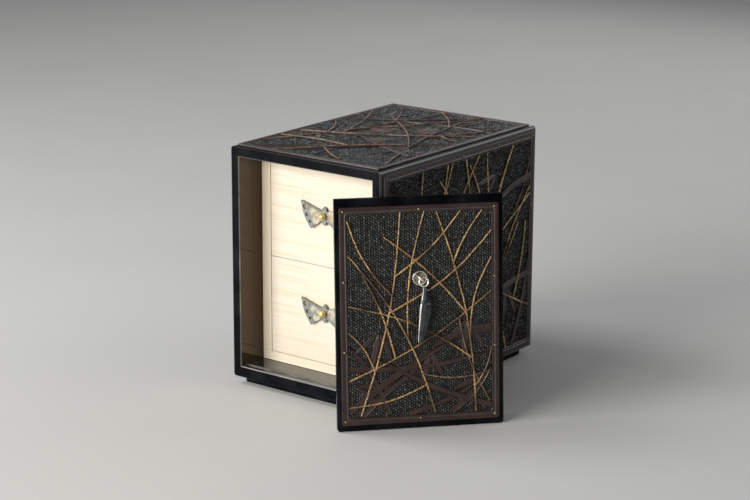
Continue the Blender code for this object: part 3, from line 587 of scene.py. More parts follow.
# A paler copy of the pod's silver for its upper left facet: painted highlight
POD_HIGHLIGHT_FACET = metal_look("pod painted highlight", (0.44, 0.43, 0.41), (0.25, 0.245, 0.23), 0.45, 0.42, 0.52, 90.0, 0.5)
ROSETTE_SILVER = metal_look("rosette silver", (0.72, 0.68, 0.62), (0.34, 0.31, 0.27), 0.55, 0.3, 0.45)
ROSETTE_FIELD = metal_look("rosette field", (0.36, 0.31, 0.24), (0.12, 0.1, 0.075), 0.45, 0.3, 0.5)
GILT = metal_look("gilt", (0.92, 0.68, 0.28), (0.72, 0.46, 0.15), 0.6, 0.44, 0.54)
STUD_BRASS = metal_look("stud brass", (0.22, 0.185, 0.13), (0.07, 0.055, 0.04), 0.5, 0.3, 0.5, 900.0)


def placed(place, turn=(0.0, 0.0, 0.0)):
    return Matrix.Translation(place) @ Euler(turn).to_matrix().to_4x4()


def face_matrix(name):
    """From a face's own frame, across, up and out, to the world."""
    if name == "lid":
        stand = placed(LID_FOOT, (-LID_LEAN, 0.0, LID_TURN))
        return stand @ placed((0.0, 0.0, LID_HEIGHT / 2), (pi / 2, 0.0, 0.0))
    return placed(*FACES[name][:2])


def frame_size(name):
    """Width and height over the outer edges of a face's frame."""
    if name == "lid":
        return LID_WIDTH - 2 * LID_FRAME_INSET_SIDES, LID_HEIGHT - 2 * LID_FRAME_INSET_ENDS
    width, height = FACES[name][2:]
    return width - 2 * FRAME_INSET, height - 2 * FRAME_INSET


def dressed_face(name):
    """A face's frame of axes, in the middle of its moulding, which sits a little low on the lid."""
    drop = LID_FRAME_DROP if name == "lid" else 0.0
    return face_matrix(name) @ placed((0.0, -drop, 0.0))


def linked(name, data):
    made = bpy.data.objects.new(name, data)
    bpy.context.scene.collection.objects.link(made)
    return made


def add_piece(data, looks, matrix, material_slot, *replaced, body="box"):
    """A visible piece, named after its mesh or curve."""
    piece = linked(data.name, data)
    for look in looks:
        data.materials.append(look)
    piece.matrix_world = matrix
    if replaced:
        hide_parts(*replaced)
    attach(piece, body)
    return piece


def raw_mesh(name, shape):
    mesh = bpy.data.meshes.new(name)
    shape.to_mesh(mesh)
    shape.free()
    return mesh


def shaded(mesh, smooth_angle=35):
    """The mesh, shaded smoothly up to an angle."""
    mesh.shade_smooth()
    mesh.set_sharp_from_angle(angle=radians(smooth_angle))
    return mesh


def mesh_from(name, shape, smooth_angle=35):
    return shaded(raw_mesh(name, shape), smooth_angle)


def even_normals(piece):
    """Keeps large flat faces flat where they meet rounded edges."""
    modifier = piece.modifiers.new("even normals", "WEIGHTED_NORMAL")
    given(modifier, keep_sharp=True, weight=100)


def arc(centre, radius, start, end, steps):
    angles = [start + (end - start) * step / steps for step in range(steps + 1)]
    return [(centre[0] + radius * cos(a), centre[1] + radius * sin(a)) for a in angles]


def circle(centre, radius, points):
    return arc(centre, radius, 0.0, 2 * pi, points)[:-1]


def rounded_rectangle(width, height, radii, steps=6):
    """Anticlockwise from the lower right, with the radii of the lower and of the upper corners."""
    points = []
    for quarter, (side, end) in enumerate(((1, -1), (1, 1), (-1, 1), (-1, -1))):
        radius = radii[0] if end < 0 else radii[1]
        centre = (side * (width / 2 - radius), end * (height / 2 - radius))
        start = (quarter - 1) * pi / 2
        points += arc(centre, radius, start, start + pi / 2, steps)
    return points


def add_band(shape, near, far, material=0):
    """The faces between two rings of equal length."""
    faces = []
    for index, corner in enumerate(near):
        after = (index + 1) % len(near)
        face = shape.faces.new((corner, near[after], far[after], far[index]))
        face.material_index = material
        faces.append(face)
    return faces


def map_face(face, layer, along, across):
    for corner, *place in zip(face.loops, along, across):
        corner[layer].uv = place


def loft(shape, loops, closed=False, strip_materials=(), mapped=False):
    """A skin through loops of equal length, anticlockwise as seen from where they climb to. It is
    capped, or closed from the last loop to the first. Some strips take the second material."""
    rings = [[shape.verts.new(point) for point in loop] for loop in loops]
    layer = shape.loops.layers.uv.verify() if mapped else None
    pairs = list(zip(rings, rings[1:]))
    if closed:
        pairs.append((rings[-1], rings[0]))
    else:
        shape.faces.new(list(reversed(rings[0])))
        shape.faces.new(rings[-1])
    for number, (lower, upper) in enumerate(pairs):
        near = number * LOFT_STRIP
        far = near + LOFT_STRIP
        start = 0.0
        for face in add_band(shape, lower, upper, int(number in strip_materials)):
            end = start + (face.verts[1].co - face.verts[0].co).length
            if mapped:
                map_face(face, layer, (start, end, end, start), (near, near, far, far))
            start = end


def lofted(name, loops, smooth_angle=35, **settings):
    shape = bmesh.new()
    loft(shape, loops, **settings)
    return mesh_from(name, shape, smooth_angle)


def cutter(name, low, high):
    low = Vector(low)
    high = Vector(high)
    shape = bmesh.new()
    bmesh.ops.create_cube(shape, size=1.0)
    bmesh.ops.scale(shape, vec=high - low, verts=shape.verts)
    bmesh.ops.translate(shape, vec=(low + high) / 2, verts=shape.verts)
    return linked(name, raw_mesh(name, shape))


def cavity_cutter():
    """The case's inside, which widens in a small chamfer at the mouth."""
    stations = [(CASE_FRONT - 0.001, MOUTH_CHAMFER)]
    for part in [sin(pi / 2 * step / 6) for step in range(7)]:
        stations.append((CASE_FRONT + MOUTH_CHAMFER * part, MOUTH_CHAMFER * (1 - part)))
    stations.append((CAVITY_BACK, 0.0))
    loops = []
    for y, wider in stations:
        side = OPENING_HALF + wider
        low = OPENING_LOW - wider
        high = OPENING_HIGH + wider
        loops.append([(-side, y, low), (-side, y, high), (side, y, high), (side, y, low)])
    shape = bmesh.new()
    loft(shape, loops)
    bmesh.ops.recalc_face_normals(shape, faces=shape.faces)
    return linked("cavity", raw_mesh("cavity", shape))


def cut(piece, tool):
    modifier = piece.modifiers.new("cut", "BOOLEAN")
    given(modifier, operation="DIFFERENCE", solver="EXACT", object=tool)


def applied(piece, tools):
    """The piece's mesh with its modifiers applied. The piece and the cutters are removed."""
    graph = bpy.context.evaluated_depsgraph_get()
    mesh = bpy.data.meshes.new_from_object(piece.evaluated_get(graph))
    for used in (piece, *tools):
        bpy.data.objects.remove(used, do_unlink=True)
    return mesh


def slab_loops(width, height, radii, stations, steps=6, growth=-1.0):
    """Rounded rectangles at stations of (inset, how far up), whose radii grow with the inset."""
    loops = []
    for inset, rise in stations:
        grown = [radius + growth * inset for radius in radii]
        outline = rounded_rectangle(width - 2 * inset, height - 2 * inset, grown, steps)
        loops.append([(x, y, rise) for x, y in outline])
    return loops


def rounded_block():
    """The whole carcass, well rounded along its length and less at its front and back."""
    radius = CASE_EDGE_RADIUS
    turns = [step * pi / 12 for step in range(7)]
    stations = [(radius * (1 - sin(a)), CASE_FRONT + radius * (1 - cos(a))) for a in turns]
    stations += [(inset, -y) for inset, y in reversed(stations)]
    radii = (CASE_CORNER_RADIUS, CASE_CORNER_RADIUS)
    shape = bmesh.new()
    loops = slab_loops(CASE_HEIGHT, CASE_WIDTH, radii, stations, 8)
    loft(shape, [[(across, y, CASE_MIDDLE + up) for up, across, y in loop] for loop in loops])
    return linked("block", raw_mesh("block", shape))


def case_lacquer(place, normal):
    """Which lacquer a face has: 0 outside, 1 within (painted wood reflection), 2 the floor and 4 the
    right side (painted sheen), 3 worn and painted highlight.
    """
    x, y, z = place
    within = abs(x) < OPENING_HALF + MOUTH_CHAMFER and abs(z - CASE_MIDDLE) < CASE_HEIGHT / 2 - 0.0015
    if within and OPENING_LOW - SILL_GROOVE_DEPTH - GAP < z < OPENING_HIGH + LINTEL_GROOVE_DEPTH:
        # The mouth's chamfer: a painted highlight
        if CASE_FRONT + GAP / 10 < y < CASE_FRONT + MOUTH_CHAMFER:
            return 3
        # The sill groove: wear and a painted highlight on its lit wall
        if GROOVE_FRONT - GAP < y < GROOVE_BACK + GAP and z < OPENING_LOW - GAP:
            return 3
        # Within: the walls take the painted wood reflection, the floor painted sheen
        if CASE_FRONT + MOUTH_CHAMFER <= y < -CASE_FRONT - WALL + GAP:
            return 2 if z < OPENING_LOW + GAP else 1
    # Faces that look right take painted sheen
    return 4 if normal.x > 0.2 else 0


def make_case():
    block = rounded_block()
    tools = [cavity_cutter()]
    for name, low, high in (
        ("sill", OPENING_LOW - SILL_GROOVE_DEPTH, OPENING_LOW + 0.001),
        ("lintel", OPENING_HIGH - 0.001, OPENING_HIGH + LINTEL_GROOVE_DEPTH),
    ):
        corners = (-OPENING_HALF, GROOVE_FRONT, low), (OPENING_HALF, GROOVE_BACK, high)
        tools.append(cutter(name, *corners))
    for tool in tools:
        cut(block, tool)
    mesh = shaded(applied(block, tools))
    mesh.name = "case_shell"
    for face in mesh.polygons:
        face.material_index = case_lacquer(face.center, face.normal)
    case = add_piece(mesh, CASE_LACQUERS, Matrix.Identity(4), "black_lacquer", *CASE_NODES)
    even_normals(case)


def make_lid_board():
    """A thin board with rounded corners and edges."""
    edge = LID_EDGE_RADIUS
    turns = [step * pi / 8 for step in range(5)]
    stations = [(edge * (1 - sin(a)), edge * (1 - cos(a)) - LID_THICKNESS) for a in turns]
    stations += [(edge * (1 - cos(a)), edge * (sin(a) - 1)) for a in turns]
    radii = (LID_BOTTOM_RADIUS, LID_TOP_RADIUS)
    mesh = lofted("lid_plate", slab_loops(LID_WIDTH, LID_HEIGHT, radii, stations))
    even_normals(add_piece(mesh, (LACQUER,), face_matrix("lid"), "black_lacquer", "lid_board"))


def make_frame(name):
    stations = [(inset, GAP + rise) for inset, rise in FRAME_PROFILE]
    radii = (FRAME_OUTER_RADIUS, FRAME_OUTER_RADIUS)
    growth = (FRAME_INNER_RADIUS - FRAME_OUTER_RADIUS) / FRAME_RAIL
    loops = slab_loops(*frame_size(name), radii, stations, growth=growth)
    settings = {"closed": True, "strip_materials": INLAY_STRIPS, "mapped": True}
    mesh = lofted(name + "_moulding", loops, 50, **settings)
    mesh.uv_layers[0].name = "along"
    looks = (FRAME_BROWN, FRAME_INLAY)
    add_piece(mesh, looks, dressed_face(name), "brown_frame", name + "_frame")


def cap_profile(radius, opening, top, steps):
    """(radius, height) points of a sphere from its top down, up to an angle."""
    angles = [opening * step / steps for step in range(steps + 1)]
    return [(radius * sin(a), top - radius + radius * cos(a)) for a in angles]


def dome_profile(radius, rise, steps):
    """A cap of a sphere, from its top down to its rim."""
    sphere = (radius**2 + rise**2) / (2 * rise)
    return cap_profile(sphere, asin(radius / sphere), rise, steps)


def ball_profile(low, steps):
    """A ball on a post, from its top down to where they meet."""
    under = asin(STUD_POST_RADIUS / STUD_BALL_RADIUS)
    top = low + STUD_BALL_RADIUS * (1 + cos(under))
    return cap_profile(STUD_BALL_RADIUS, pi - under, top, steps)


def add_turned(shape, profile, centre, sides):
    """A skin turned about the outward axis, from a profile that starts on the axis at the top."""
    x, y, z = centre
    top = shape.verts.new((x, y, z + profile[0][1]))
    turns = [2 * pi * side / sides for side in range(sides)]
    upper = None
    for radius, height in profile[1:]:
        rim = [(x + radius * cos(turn), y + radius * sin(turn), z + height) for turn in turns]
        ring = [shape.verts.new(point) for point in rim]
        if upper:
            add_band(shape, ring, upper)
        else:
            for index in range(sides):
                shape.faces.new((ring[index], ring[(index + 1) % sides], top))
        upper = ring
    shape.faces.new(list(reversed(upper)))


def spread(half, count):
    return [half * (2 * step / (count - 1) - 1) for step in range(count)]


def make_studs(name):
    """Small domed studs round a face's frame, on the outer side of its inlaid line."""
    width, height = frame_size(name)
    half_width = width / 2 - STUD_INSET
    half_height = height / 2 - STUD_INSET
    across = 5 if name in ("left", "right") else 3
    up = 5 if name == "top" else 4
    places = [(x, y) for x in spread(half_width, across) for y in (-half_height, half_height)]
    places += [(x, y) for y in spread(half_height, up)[1:-1] for x in (-half_width, half_width)]
    profile = dome_profile(STUD_RADIUS, STUD_RISE, 4) + [(STUD_RADIUS, -STUD_SUNK)]
    shape = bmesh.new()
    for x, y in places:
        add_turned(shape, profile, (x, y, GAP + STUD_FOOT), 14)
    mesh = mesh_from(name + "_studs", shape, 60)
    add_piece(mesh, (STUD_BRASS,), dressed_face(name), "pale_pewter")


def weave_heights(ribs, beads, fineness, seed):
    """Heights over a grid of ribs, each a chain of uneven beads, staggered from rib to rib."""
    across_steps, along_steps = fineness
    chance = np.random.default_rng(seed)
    levels = chance.uniform(*BEAD_LEVELS, (beads + 4, ribs))
    slants = chance.uniform(*BEAD_SLANTS, (beads + 4, ribs))
    moved = chance.uniform(*BEAD_MOVES, (beads + 4, ribs))
    shifts = 0.5 * (np.arange(ribs) % 2) + chance.uniform(*RIB_SHIFTS, ribs) + 1.0
    across = np.arange(ribs * across_steps + 1)[None, :] / across_steps
    along = np.arange(beads * along_steps + 1)[:, None] / along_steps
    across = across + RIB_WANDER * (np.sin(pi * along) + np.sin(0.37 * along + 0.21 * across))
    rib = np.clip(across.astype(int), 0, ribs - 1)
    place = along + shifts[rib]
    bead = place.astype(int)
    in_rib = 2 * (across - rib) - 1 + moved[bead, rib]
    in_bead = 2 * (place - bead) - 1 + slants[bead, rib] * in_rib
    swell = levels[bead, rib] * np.maximum(1 - in_bead**2, 0.0)
    crown = np.maximum(1 - in_rib**2, 0.0)
    return WEAVE_LOW + WEAVE_RISE * np.sqrt(crown * swell)


def make_weave(name, look, fineness, seed, lying):
    """A face's woven ground. Its ribs stand, or lie across it."""
    half_width, half_height = (size / 2 - FRAME_RAIL for size in frame_size(name))
    if lying:
        half_width, half_height = half_height, half_width
    ribs = round(2 * half_width / RIB_PITCH)
    beads = round(2 * half_height / BEAD_PITCH)
    heights = weave_heights(ribs, beads, fineness, seed)
    high, wide = heights.shape
    points = np.empty((high, wide, 3))
    points[..., 0] = np.linspace(-half_width, half_width, wide)[None, :]
    points[..., 1] = np.linspace(-half_height, half_height, high)[:, None]
    points[..., 2] = heights
    first = (np.arange(high - 1)[:, None] * wide + np.arange(wide - 1)[None, :]).ravel()
    faces = np.stack((first, first + 1, first + wide + 1, first + wide), axis=1)
    mesh = bpy.data.meshes.new(name + "_ground")
    mesh.from_pydata(points.reshape(-1, 3).tolist(), [], faces.tolist())
    mesh.shade_smooth()
    matrix = dressed_face(name) @ placed((0.0, 0.0, 0.0), (0.0, 0.0, pi / 2 * lying))
    add_piece(mesh, (look,), matrix, "black_weave", name + "_weave")


def add_strip(shape, path, widths, rises, base, section, material=0):
    """A closed strip along a path in the face's plane, mapped along its length and across."""
    layer = shape.loops.layers.uv.verify()
    rings = []
    distances = [0.0]
    for index, point in enumerate(path):
        before = path[max(index - 1, 0)]
        after = path[min(index + 1, len(path) - 1)]
        along = (after - before).normalized()
        side = Vector((-along.y, along.x))
        low = base[index] if isinstance(base, list) else base
        ring = []
        for across, up in section:
            flat = point + side * across * widths[index]
            ring.append(shape.verts.new((flat.x, flat.y, low + up * rises[index])))
        rings.append(ring)
        if index:
            distances.append(distances[-1] + (point - before).length)
    count = len(section)
    for near, far, start, end in zip(rings, rings[1:], distances, distances[1:]):
        for corner, face in enumerate(add_band(shape, near, far, material)):
            low, high = corner / count, (corner + 1) / count
            map_face(face, layer, (start, start, end, end), (low, high, high, low))
    for ring in (rings[0], rings[-1]):
        shape.faces.new(ring).material_index = material


def add_strips(name, shape, smooth_angle, looks, face, *replaced):
    """The piece of the strips in a bmesh, on a face."""
    bmesh.ops.recalc_face_normals(shape, faces=shape.faces)
    mesh = mesh_from(name, shape, smooth_angle)
    mesh.uv_layers[0].name = "along"
    add_piece(mesh, looks, face_matrix(face), "brown_leaf", *replaced)


def bowed_path(start, end, bow):
    length = (Vector(end) - Vector(start)).length
    points = [start] + bowed(start, end, bow, round(length / STEP)) + [end]
    return [Vector(point) for point in points]


def mirrored(*half):
    """A symmetrical outline from its left half, which ends on its middle line."""
    return half + tuple((-x, y) for x, y in reversed(half[:-1]))


ROUND_SECTION = tuple(circle((0.0, 0.0), 1.0, 8))
LEAF_SECTION = mirrored((-1.0, 0.0), (-0.97, 0.42), (-0.62, 0.9), (-0.14, 0.96), (0.0, 0.74))
BLADE_SECTION = mirrored((-1.0, 0.0), (-0.98, 0.7), (-0.82, 1.0), (-0.5, 0.8), (0.0, 0.9))


def pressed(name, point):
    """How far a cane is pressed in, where the drop pull hangs over it."""
    if name != "lid":
        return 0.0
    beyond = max(abs(point.x) - PRESSED_HALF, PRESSED_LOW - point.y, point.y - PRESSED_HIGH, 0.0)
    return PRESSED_DEPTH * max(0.0, 1.0 - beyond / PRESSED_FADE)


def cane_radii(count, radius, chance):
    """Thinner towards the tip, uneven, and swollen at each node."""
    radii = []
    for index in range(count):
        taper = 1.0 - CANE_TAPER * index / count
        from_node = (index * STEP) % CANE_NODE_SPACING
        swollen = CANE_SWELLING if from_node < STEP else 1.0
        radii.append(radius * taper * swollen * chance.uniform(0.93, 1.07))
    return radii


def jogged(path, chance):
    """The path with a slight shift to one side at every node."""
    per_node = round(CANE_NODE_SPACING / STEP)
    side = (path[-1] - path[0]).orthogonal().normalized()
    shift = 0.0
    points = []
    for index, point in enumerate(path):
        if index % per_node == 0:
            shift = chance.uniform(-CANE_JOG, CANE_JOG)
        points.append(point + side * shift)
    return points


def cane_paths(name):
    """The paths of a face's stems, and of the twigs that leave them."""
    stems = []
    for cane in STEMS[name]:
        x, y, end_x, end_y, bow = metres(*cane)
        stems.append(bowed_path((x, y), (end_x, end_y), bow))
    paths = list(stems)
    for stem, part, *end in TWIGS[name]:
        x, y, bow = metres(*end)
        foot = stems[stem][round(part * (len(stems[stem]) - 1))]
        paths.append(bowed_path(tuple(foot), (x, y), bow))
    return paths


def make_canes(name, looks, seed):
    chance = Random(seed)
    shape = bmesh.new()
    for number, path in enumerate(cane_paths(name)):
        path = jogged(path, chance)
        radii = cane_radii(len(path), CANE_RADIUS * chance.uniform(0.85, 1.0), chance)
        layer = CANE_HEIGHT + CANE_LAYER * (number % 3)
        base = [layer - pressed(name, point) for point in path]
        material = 1 if number >= len(STEMS[name]) and chance.random() < 0.2 else 0
        add_strip(shape, path, radii, radii, base, ROUND_SECTION, material)
    add_strips(name + "_canes", shape, 60, looks, name)


def make_blades(name):
    """Flat strips that narrow to a point at their far ends."""
    shape = bmesh.new()
    for number, blade in enumerate(BLADES[name]):
        x, y, end_x, end_y, width, bow = metres(*blade)
        path = bowed_path((x, y), (end_x, end_y), bow)
        last = len(path) - 1
        widths = [width / 2 * max(BLADE_TIP, (1 - (index / last) ** 4)) for index in range(last + 1)]
        rises = [BLADE_RISE * (1.0 + BLADE_RISE_STEP * (number % 3))] * len(path)
        add_strip(shape, path, widths, rises, BLADE_LOW, BLADE_SECTION)
    add_strips(name + "_blades", shape, 30, (LEAF_BROWN,), name)


def make_sprays(name):
    """Leaves fanned about a hub, each crowned on both sides of its midrib."""
    parts = [step / LEAF_STEPS for step in range(LEAF_STEPS + 1)]
    for number, (across, up, direction, count, longest) in enumerate(SPRAYS[name], 1):
        across, up, longest = metres(across, up, longest)
        shape = bmesh.new()
        first = -LEAF_SPACING * (count - 1) / 2
        for leaf in range(count):
            angle = first + LEAF_SPACING * leaf
            turn = radians(direction + angle)
            along = Vector((cos(turn), sin(turn)))
            length = longest * (1 - LEAF_SHORTENING * abs(angle) / LEAF_SPACING)
            path = [Vector((across, up)) + along * (HUB_RADIUS + length * part) for part in parts]
            widest = length * LEAF_WIDTH_TO_LENGTH / 2
            widths = [max(LEAF_TIP, widest * sin(pi * part**0.75)) for part in parts]
            rises = [LEAF_RISE * (0.55 + 0.45 * width / widest) for width in widths]
            add_strip(shape, path, widths, rises, LEAF_LOW, LEAF_SECTION)
        dome = dome_profile(HUB_RADIUS, LEAF_RISE, 4)
        add_turned(shape, dome, (across, up, LEAF_LOW), 16)
        replaced = f"{name}_leaves_{number}"
        add_strips(f"{name}_spray_{number}", shape, 40, (LEAF_BROWN,), name, replaced)


def make_blossoms():
    """Five crowned petals round a small boss."""
    angles = [2 * pi * step / 60 for step in range(60)]
    for number, (across, up, turn, radius) in enumerate(BLOSSOMS, 1):
        across, up, radius = metres(across, up, radius)
        loops = []
        for reach_part, rise in PETAL_PROFILE:
            loop = []
            for angle in angles:
                petal = abs(sin(2.5 * angle))
                reach = radius * reach_part * (1 - PETAL_NOTCH * (1 - petal) * reach_part)
                x = across + reach * cos(angle + radians(turn))
                y = up + reach * sin(angle + radians(turn))
                dip = 1.0 - PETAL_DIP * (1 - petal) ** 2
                loop.append((x, y, LEAF_LOW + LEAF_RISE * rise * dip))
            loops.append(loop)
        shape = bmesh.new()
        loft(shape, loops)
        boss = dome_profile(radius * BOSS[0], BOSS[1], 4)
        add_turned(shape, boss, (across, up, LEAF_LOW + 0.0004), 16)
        mesh = mesh_from(f"blossom_petals_{number}", shape, 50)
        add_piece(mesh, (BLOSSOM_BROWN,), face_matrix("top"), "brown_leaf", f"blossom_{number}")


def bowed(start, end, bulge, steps):
    """Points of a line from start to end that bulges to its right, both ends left out."""
    along = Vector(end) - Vector(start)
    right = Vector((along.y, -along.x)).normalized()
    points = []
    for step in range(1, steps):
        part = step / steps
        point = Vector(start) + along * part + right * bulge * sin(pi * part)
        points.append((point.x, point.y))
    return points


def butterfly_outline():
    right = [BODY_BOTTOM]
    right += bowed(BODY_BOTTOM, BODY_SHOULDER_BOTTOM, BODY_BULGE, 4)
    right += [BODY_SHOULDER_BOTTOM, WING_ROOT_BOTTOM, WING_TIP_BOTTOM]
    right += bowed(WING_TIP_BOTTOM, WING_TIP_TOP, WING_BULGE, 18)
    right += [WING_TIP_TOP, WING_ROOT_TOP, BODY_SHOULDER_TOP]
    right += bowed(BODY_SHOULDER_TOP, BODY_TOP, BODY_BULGE, 4)
    right += [BODY_TOP]
    return right + [(-x, y) for x, y in reversed(right[1:-1])]


def add_line(data, points, closed):
    spline = data.splines.new("POLY")
    spline.points.add(len(points) - 1)
    for point, place in zip(spline.points, points):
        point.co = (*place, 1.0)
    spline.use_cyclic_u = closed
    return spline


def plate_curve(name, outlines, thickness, edge):
    """A flat plate with rounded edges, from closed outlines, the first its edge."""
    data = given(bpy.data.curves.new(name, "CURVE"), dimensions="2D", fill_mode="BOTH")
    given(data, extrude=thickness / 2 - edge, bevel_depth=edge, bevel_resolution=2, offset=-edge)
    for outline in outlines:
        add_line(data, [(x, y, 0.0) for x, y in outline], True)
    return data


def make_butterfly(name):
    outlines = [butterfly_outline(), circle((0.0, 0.0), STUD_POST_RADIUS + GAP, 20)]
    for x, y, radius in WING_HOLES:
        outlines += [circle((x, y), radius, 20), circle((-x, y), radius, 20)]
    face = placed((0.0, CABINET_FRONT, DRAWER_STUDS[name]), (pi / 2, 0.0, 0.0))
    data = plate_curve(name + "_wings", outlines, BUTTERFLY_THICKNESS, BUTTERFLY_EDGE)
    middle = BUTTERFLY_BACK + BUTTERFLY_THICKNESS / 2
    matrix = face @ placed((0.0, 0.0, middle))
    body = name + "_drawer"
    add_piece(data, (PEWTER[name],), matrix, "pale_pewter", name + "_butterfly", body=body)
    collar_high = BUTTERFLY_BACK - GAP
    profile = ball_profile(BUTTERFLY_BACK + BUTTERFLY_THICKNESS + GAP, 24) + [
        (STUD_POST_RADIUS, collar_high),
        (STUD_COLLAR_RADIUS, collar_high),
        (STUD_COLLAR_RADIUS, GAP),
    ]
    shape = bmesh.new()
    add_turned(shape, profile, (0.0, 0.0, 0.0), 32)
    add_piece(mesh_from(name + "_knob", shape, 40), (GILT,), face, "gilt", name + "_stud", body=body)


def make_rosette():
    """A scalloped disc with a raised rim and a fluted field."""
    points = 8 * ROSETTE_SCALLOPS
    loops = []
    for inset, rise, fluted in ROSETTE_STATIONS:
        loop = []
        for step in range(points):
            angle = 2 * pi * step / points
            wave = 1 - abs(sin(ROSETTE_SCALLOPS * angle / 2))
            fade = max(0.0, 1 - inset / ROSETTE_SCALLOP_FADE)
            reach = ROSETTE_RADIUS - inset - ROSETTE_SCALLOP_DEPTH * wave * fade
            height = ROSETTE_BACK + rise + fluted * ROSETTE_FLUTE_DEPTH * cos(ROSETTE_SCALLOPS * angle)
            loop.append((reach * cos(angle), PULL_UP + reach * sin(angle), height))
        loops.append(loop)
    mesh = lofted("rosette_disc", loops, 60, strip_materials=ROSETTE_FIELD_STRIPS)
    looks = (ROSETTE_SILVER, ROSETTE_FIELD)
    add_piece(mesh, looks, face_matrix("lid"), "pale_pewter", "pull_rosette")


def wire_curve(name, points, radius, cyclic):
    data = given(bpy.data.curves.new(name, "CURVE"), dimensions="3D")
    given(data, bevel_depth=radius, bevel_resolution=4, use_fill_caps=not cyclic)
    add_line(data, points, cyclic).use_smooth = True
    return data


def make_eye():
    """An arch that stands on the rosette, slanting across it."""
    arch = arc((0.0, EYE_LEG), EYE_RADIUS, 0.0, pi, 24)
    path = [(EYE_RADIUS, -GAP)] + arch + [(-EYE_RADIUS, -GAP)]
    points = [(x * cos(EYE_TURN), x * sin(EYE_TURN), up) for x, up in path]
    wire = wire_curve("eye_arch", points, EYE_WIRE, False)
    matrix = face_matrix("lid") @ placed((0.0, PULL_UP, EYE_FOOT))
    add_piece(wire, (RING_SILVER,), matrix, "dark_silver", "pull_eye")


def swing_matrix():
    height = EYE_FOOT + EYE_LEG + RING_IN_EYE
    return face_matrix("lid") @ placed((0.0, PULL_UP, height), (-PULL_OUT_TILT, 0.0, 0.0))


def make_ring():
    """A wire ring drawn to a point where it meets the pod's neck."""
    centre = Vector((RING_RADIUS * cos(EYE_TURN), RING_RADIUS * sin(EYE_TURN)))
    steps = 48
    points = []
    for step in range(steps):
        angle = 2 * pi * step / steps - pi / 2
        from_bottom = min(step, steps - step) / steps
        pinch = 1.0 + RING_PINCH * max(0.0, 1.0 - from_bottom / RING_PINCH_REACH)
        reach = RING_RADIUS * pinch
        points.append((centre.x + reach * cos(angle), centre.y + reach * sin(angle), 0.0))
    wire = wire_curve("ring_wire", points, RING_WIRE, True)
    add_piece(wire, (RING_SILVER,), swing_matrix(), "dark_silver", "pull_ring", body="pull")


def make_pod():
    """Eight-sided, hanging along a slightly bowed middle line, with two thin collars."""
    loops = []
    for distance, radius in reversed(POD_PROFILE):
        bow = POD_BOW * sin(pi * (distance / POD_LENGTH) ** 0.6)
        loops.append([(bow + radius * across, -distance, radius * out) for across, out in POD_SECTION])
    mesh = lofted("pod_body", loops, POD_SHARP)
    # The upper left facet, as seen from the front, takes a paler copy of the silver: a painted highlight
    for face in mesh.polygons:
        face.material_index = int(face.normal.x < -0.6 and face.normal.z > 0.45)
    ring_low = RING_RADIUS * sin(EYE_TURN) - RING_RADIUS - RING_WIRE - GAP
    place = (RING_RADIUS * cos(EYE_TURN), ring_low, 0.0)
    matrix = swing_matrix() @ placed(place, (0.0, 0.0, -POD_SIDE_TILT))
    pod = add_piece(mesh, (POD_SILVER, POD_HIGHLIGHT_FACET), matrix, "dark_silver", "pull_pod", body="pull")
    softened = pod.modifiers.new("softened edges", "BEVEL")
    given(softened, width=POD_EDGE_RADIUS, segments=2)
    given(softened, limit_method="ANGLE", angle_limit=radians(POD_SHARP))
    even_normals(pod)


def finish_cad_pieces():
    """The looks of the CAD pieces that show as they are."""
    looks = {"cabinet": CABINET_WOOD, "plinth": LACQUER}
    for name in ("upper", "lower"):
        looks[name + "_drawer_front"] = FRONT_WOOD
        looks[name + "_drawer_tray"] = TRAY_WOOD
    for name, look in looks.items():
        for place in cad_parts[name].material_slots:
            place.material = look


def add_camera():
    data = bpy.data.cameras.new("camera")
    camera = linked("camera", given(data, lens=CAMERA_LENS, sensor_width=36.0, clip_start=0.01))
    aim = placed(CAMERA_PLACE, (pi / 2 - CAMERA_PITCH, 0.0, CAMERA_YAW))
    camera.matrix_world = aim @ placed((0.0, 0.0, 0.0), (0.0, 0.0, CAMERA_ROLL))
    bpy.context.scene.camera = camera


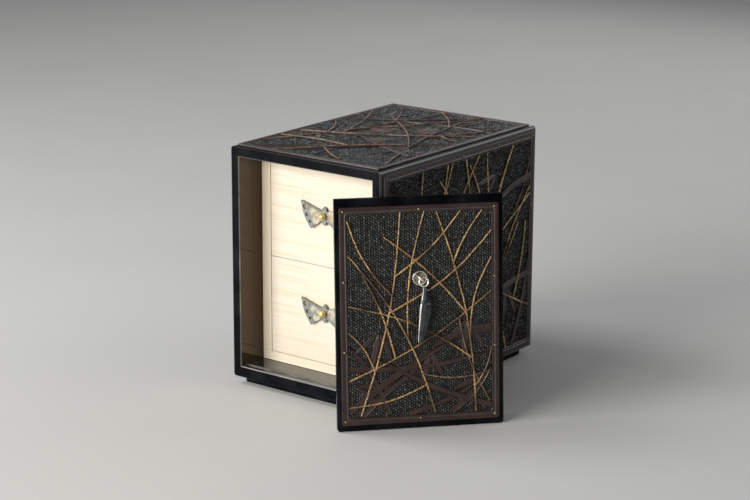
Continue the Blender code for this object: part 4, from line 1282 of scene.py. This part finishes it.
def add_softbox(name, place, target, size, energy, color=(1.0, 1.0, 1.0)):
    data = given(bpy.data.lights.new(name, "AREA"), shape="RECTANGLE", energy=energy, color=color)
    data.size, data.size_y = size
    lamp = linked(name, data)
    lamp.location = place
    aim = Vector(target) - Vector(place)
    lamp.rotation_euler = aim.to_track_quat("-Z", "Y").to_euler()
    lamp.visible_camera = False


def add_studio():
    shape = bmesh.new()
    bmesh.ops.create_grid(shape, x_segments=8, y_segments=8, size=6.0)
    mesh = raw_mesh("floor", shape)
    floor = linked("floor", mesh)
    mesh.materials.append(floor_look())
    target = (0.03, -0.03, 0.1)
    add_softbox("key light", (-0.5, -2.05, 0.72), target, (1.8, 1.0), 66.0, (1.0, 0.97, 0.92))
    add_softbox("side light", (-1.3, -0.5, 1.6), target, (0.8, 0.8), 18.0)
    add_softbox("back light", (-0.2, 1.9, 0.75), target, (2.4, 0.5), 5.0)
    add_softbox("right light", (1.15, 1.45, 1.0), target, (1.2, 0.7), 7.0)
    world = bpy.data.worlds.new("studio")
    world.use_nodes = True
    background = world.node_tree.nodes["Background"]
    background.inputs["Color"].default_value = (0.8, 0.82, 0.84, 1.0)
    background.inputs["Strength"].default_value = 0.22
    bpy.context.scene.world = world
    bpy.context.scene.view_settings.view_transform = "Standard"


def main():
    add_camera()
    make_case()
    make_lid_board()
    weaves = (
        ("lid", LID_WEAVE, (4, 4), False),
        ("top", TOP_WEAVE, (3, 4), False),
        ("right", SIDE_WEAVE, (3, 3), True),
        ("left", SIDE_WEAVE, (3, 3), True),
        ("back", SIDE_WEAVE, (3, 3), False),
    )
    for seed, (name, look, fineness, lying) in enumerate(weaves, 21):
        make_weave(name, look, fineness, seed, lying)
        make_frame(name)
        make_studs(name)
        make_sprays(name)
        make_blades(name)
        make_canes(name, (MAIN_CANES.get(name, BRIGHTENED_SIDE_CANE), DARK_CANE), seed)
    make_blossoms()
    make_butterfly("upper")
    make_butterfly("lower")
    make_rosette()
    make_eye()
    make_ring()
    make_pod()
    finish_cad_pieces()
    add_studio()


main()
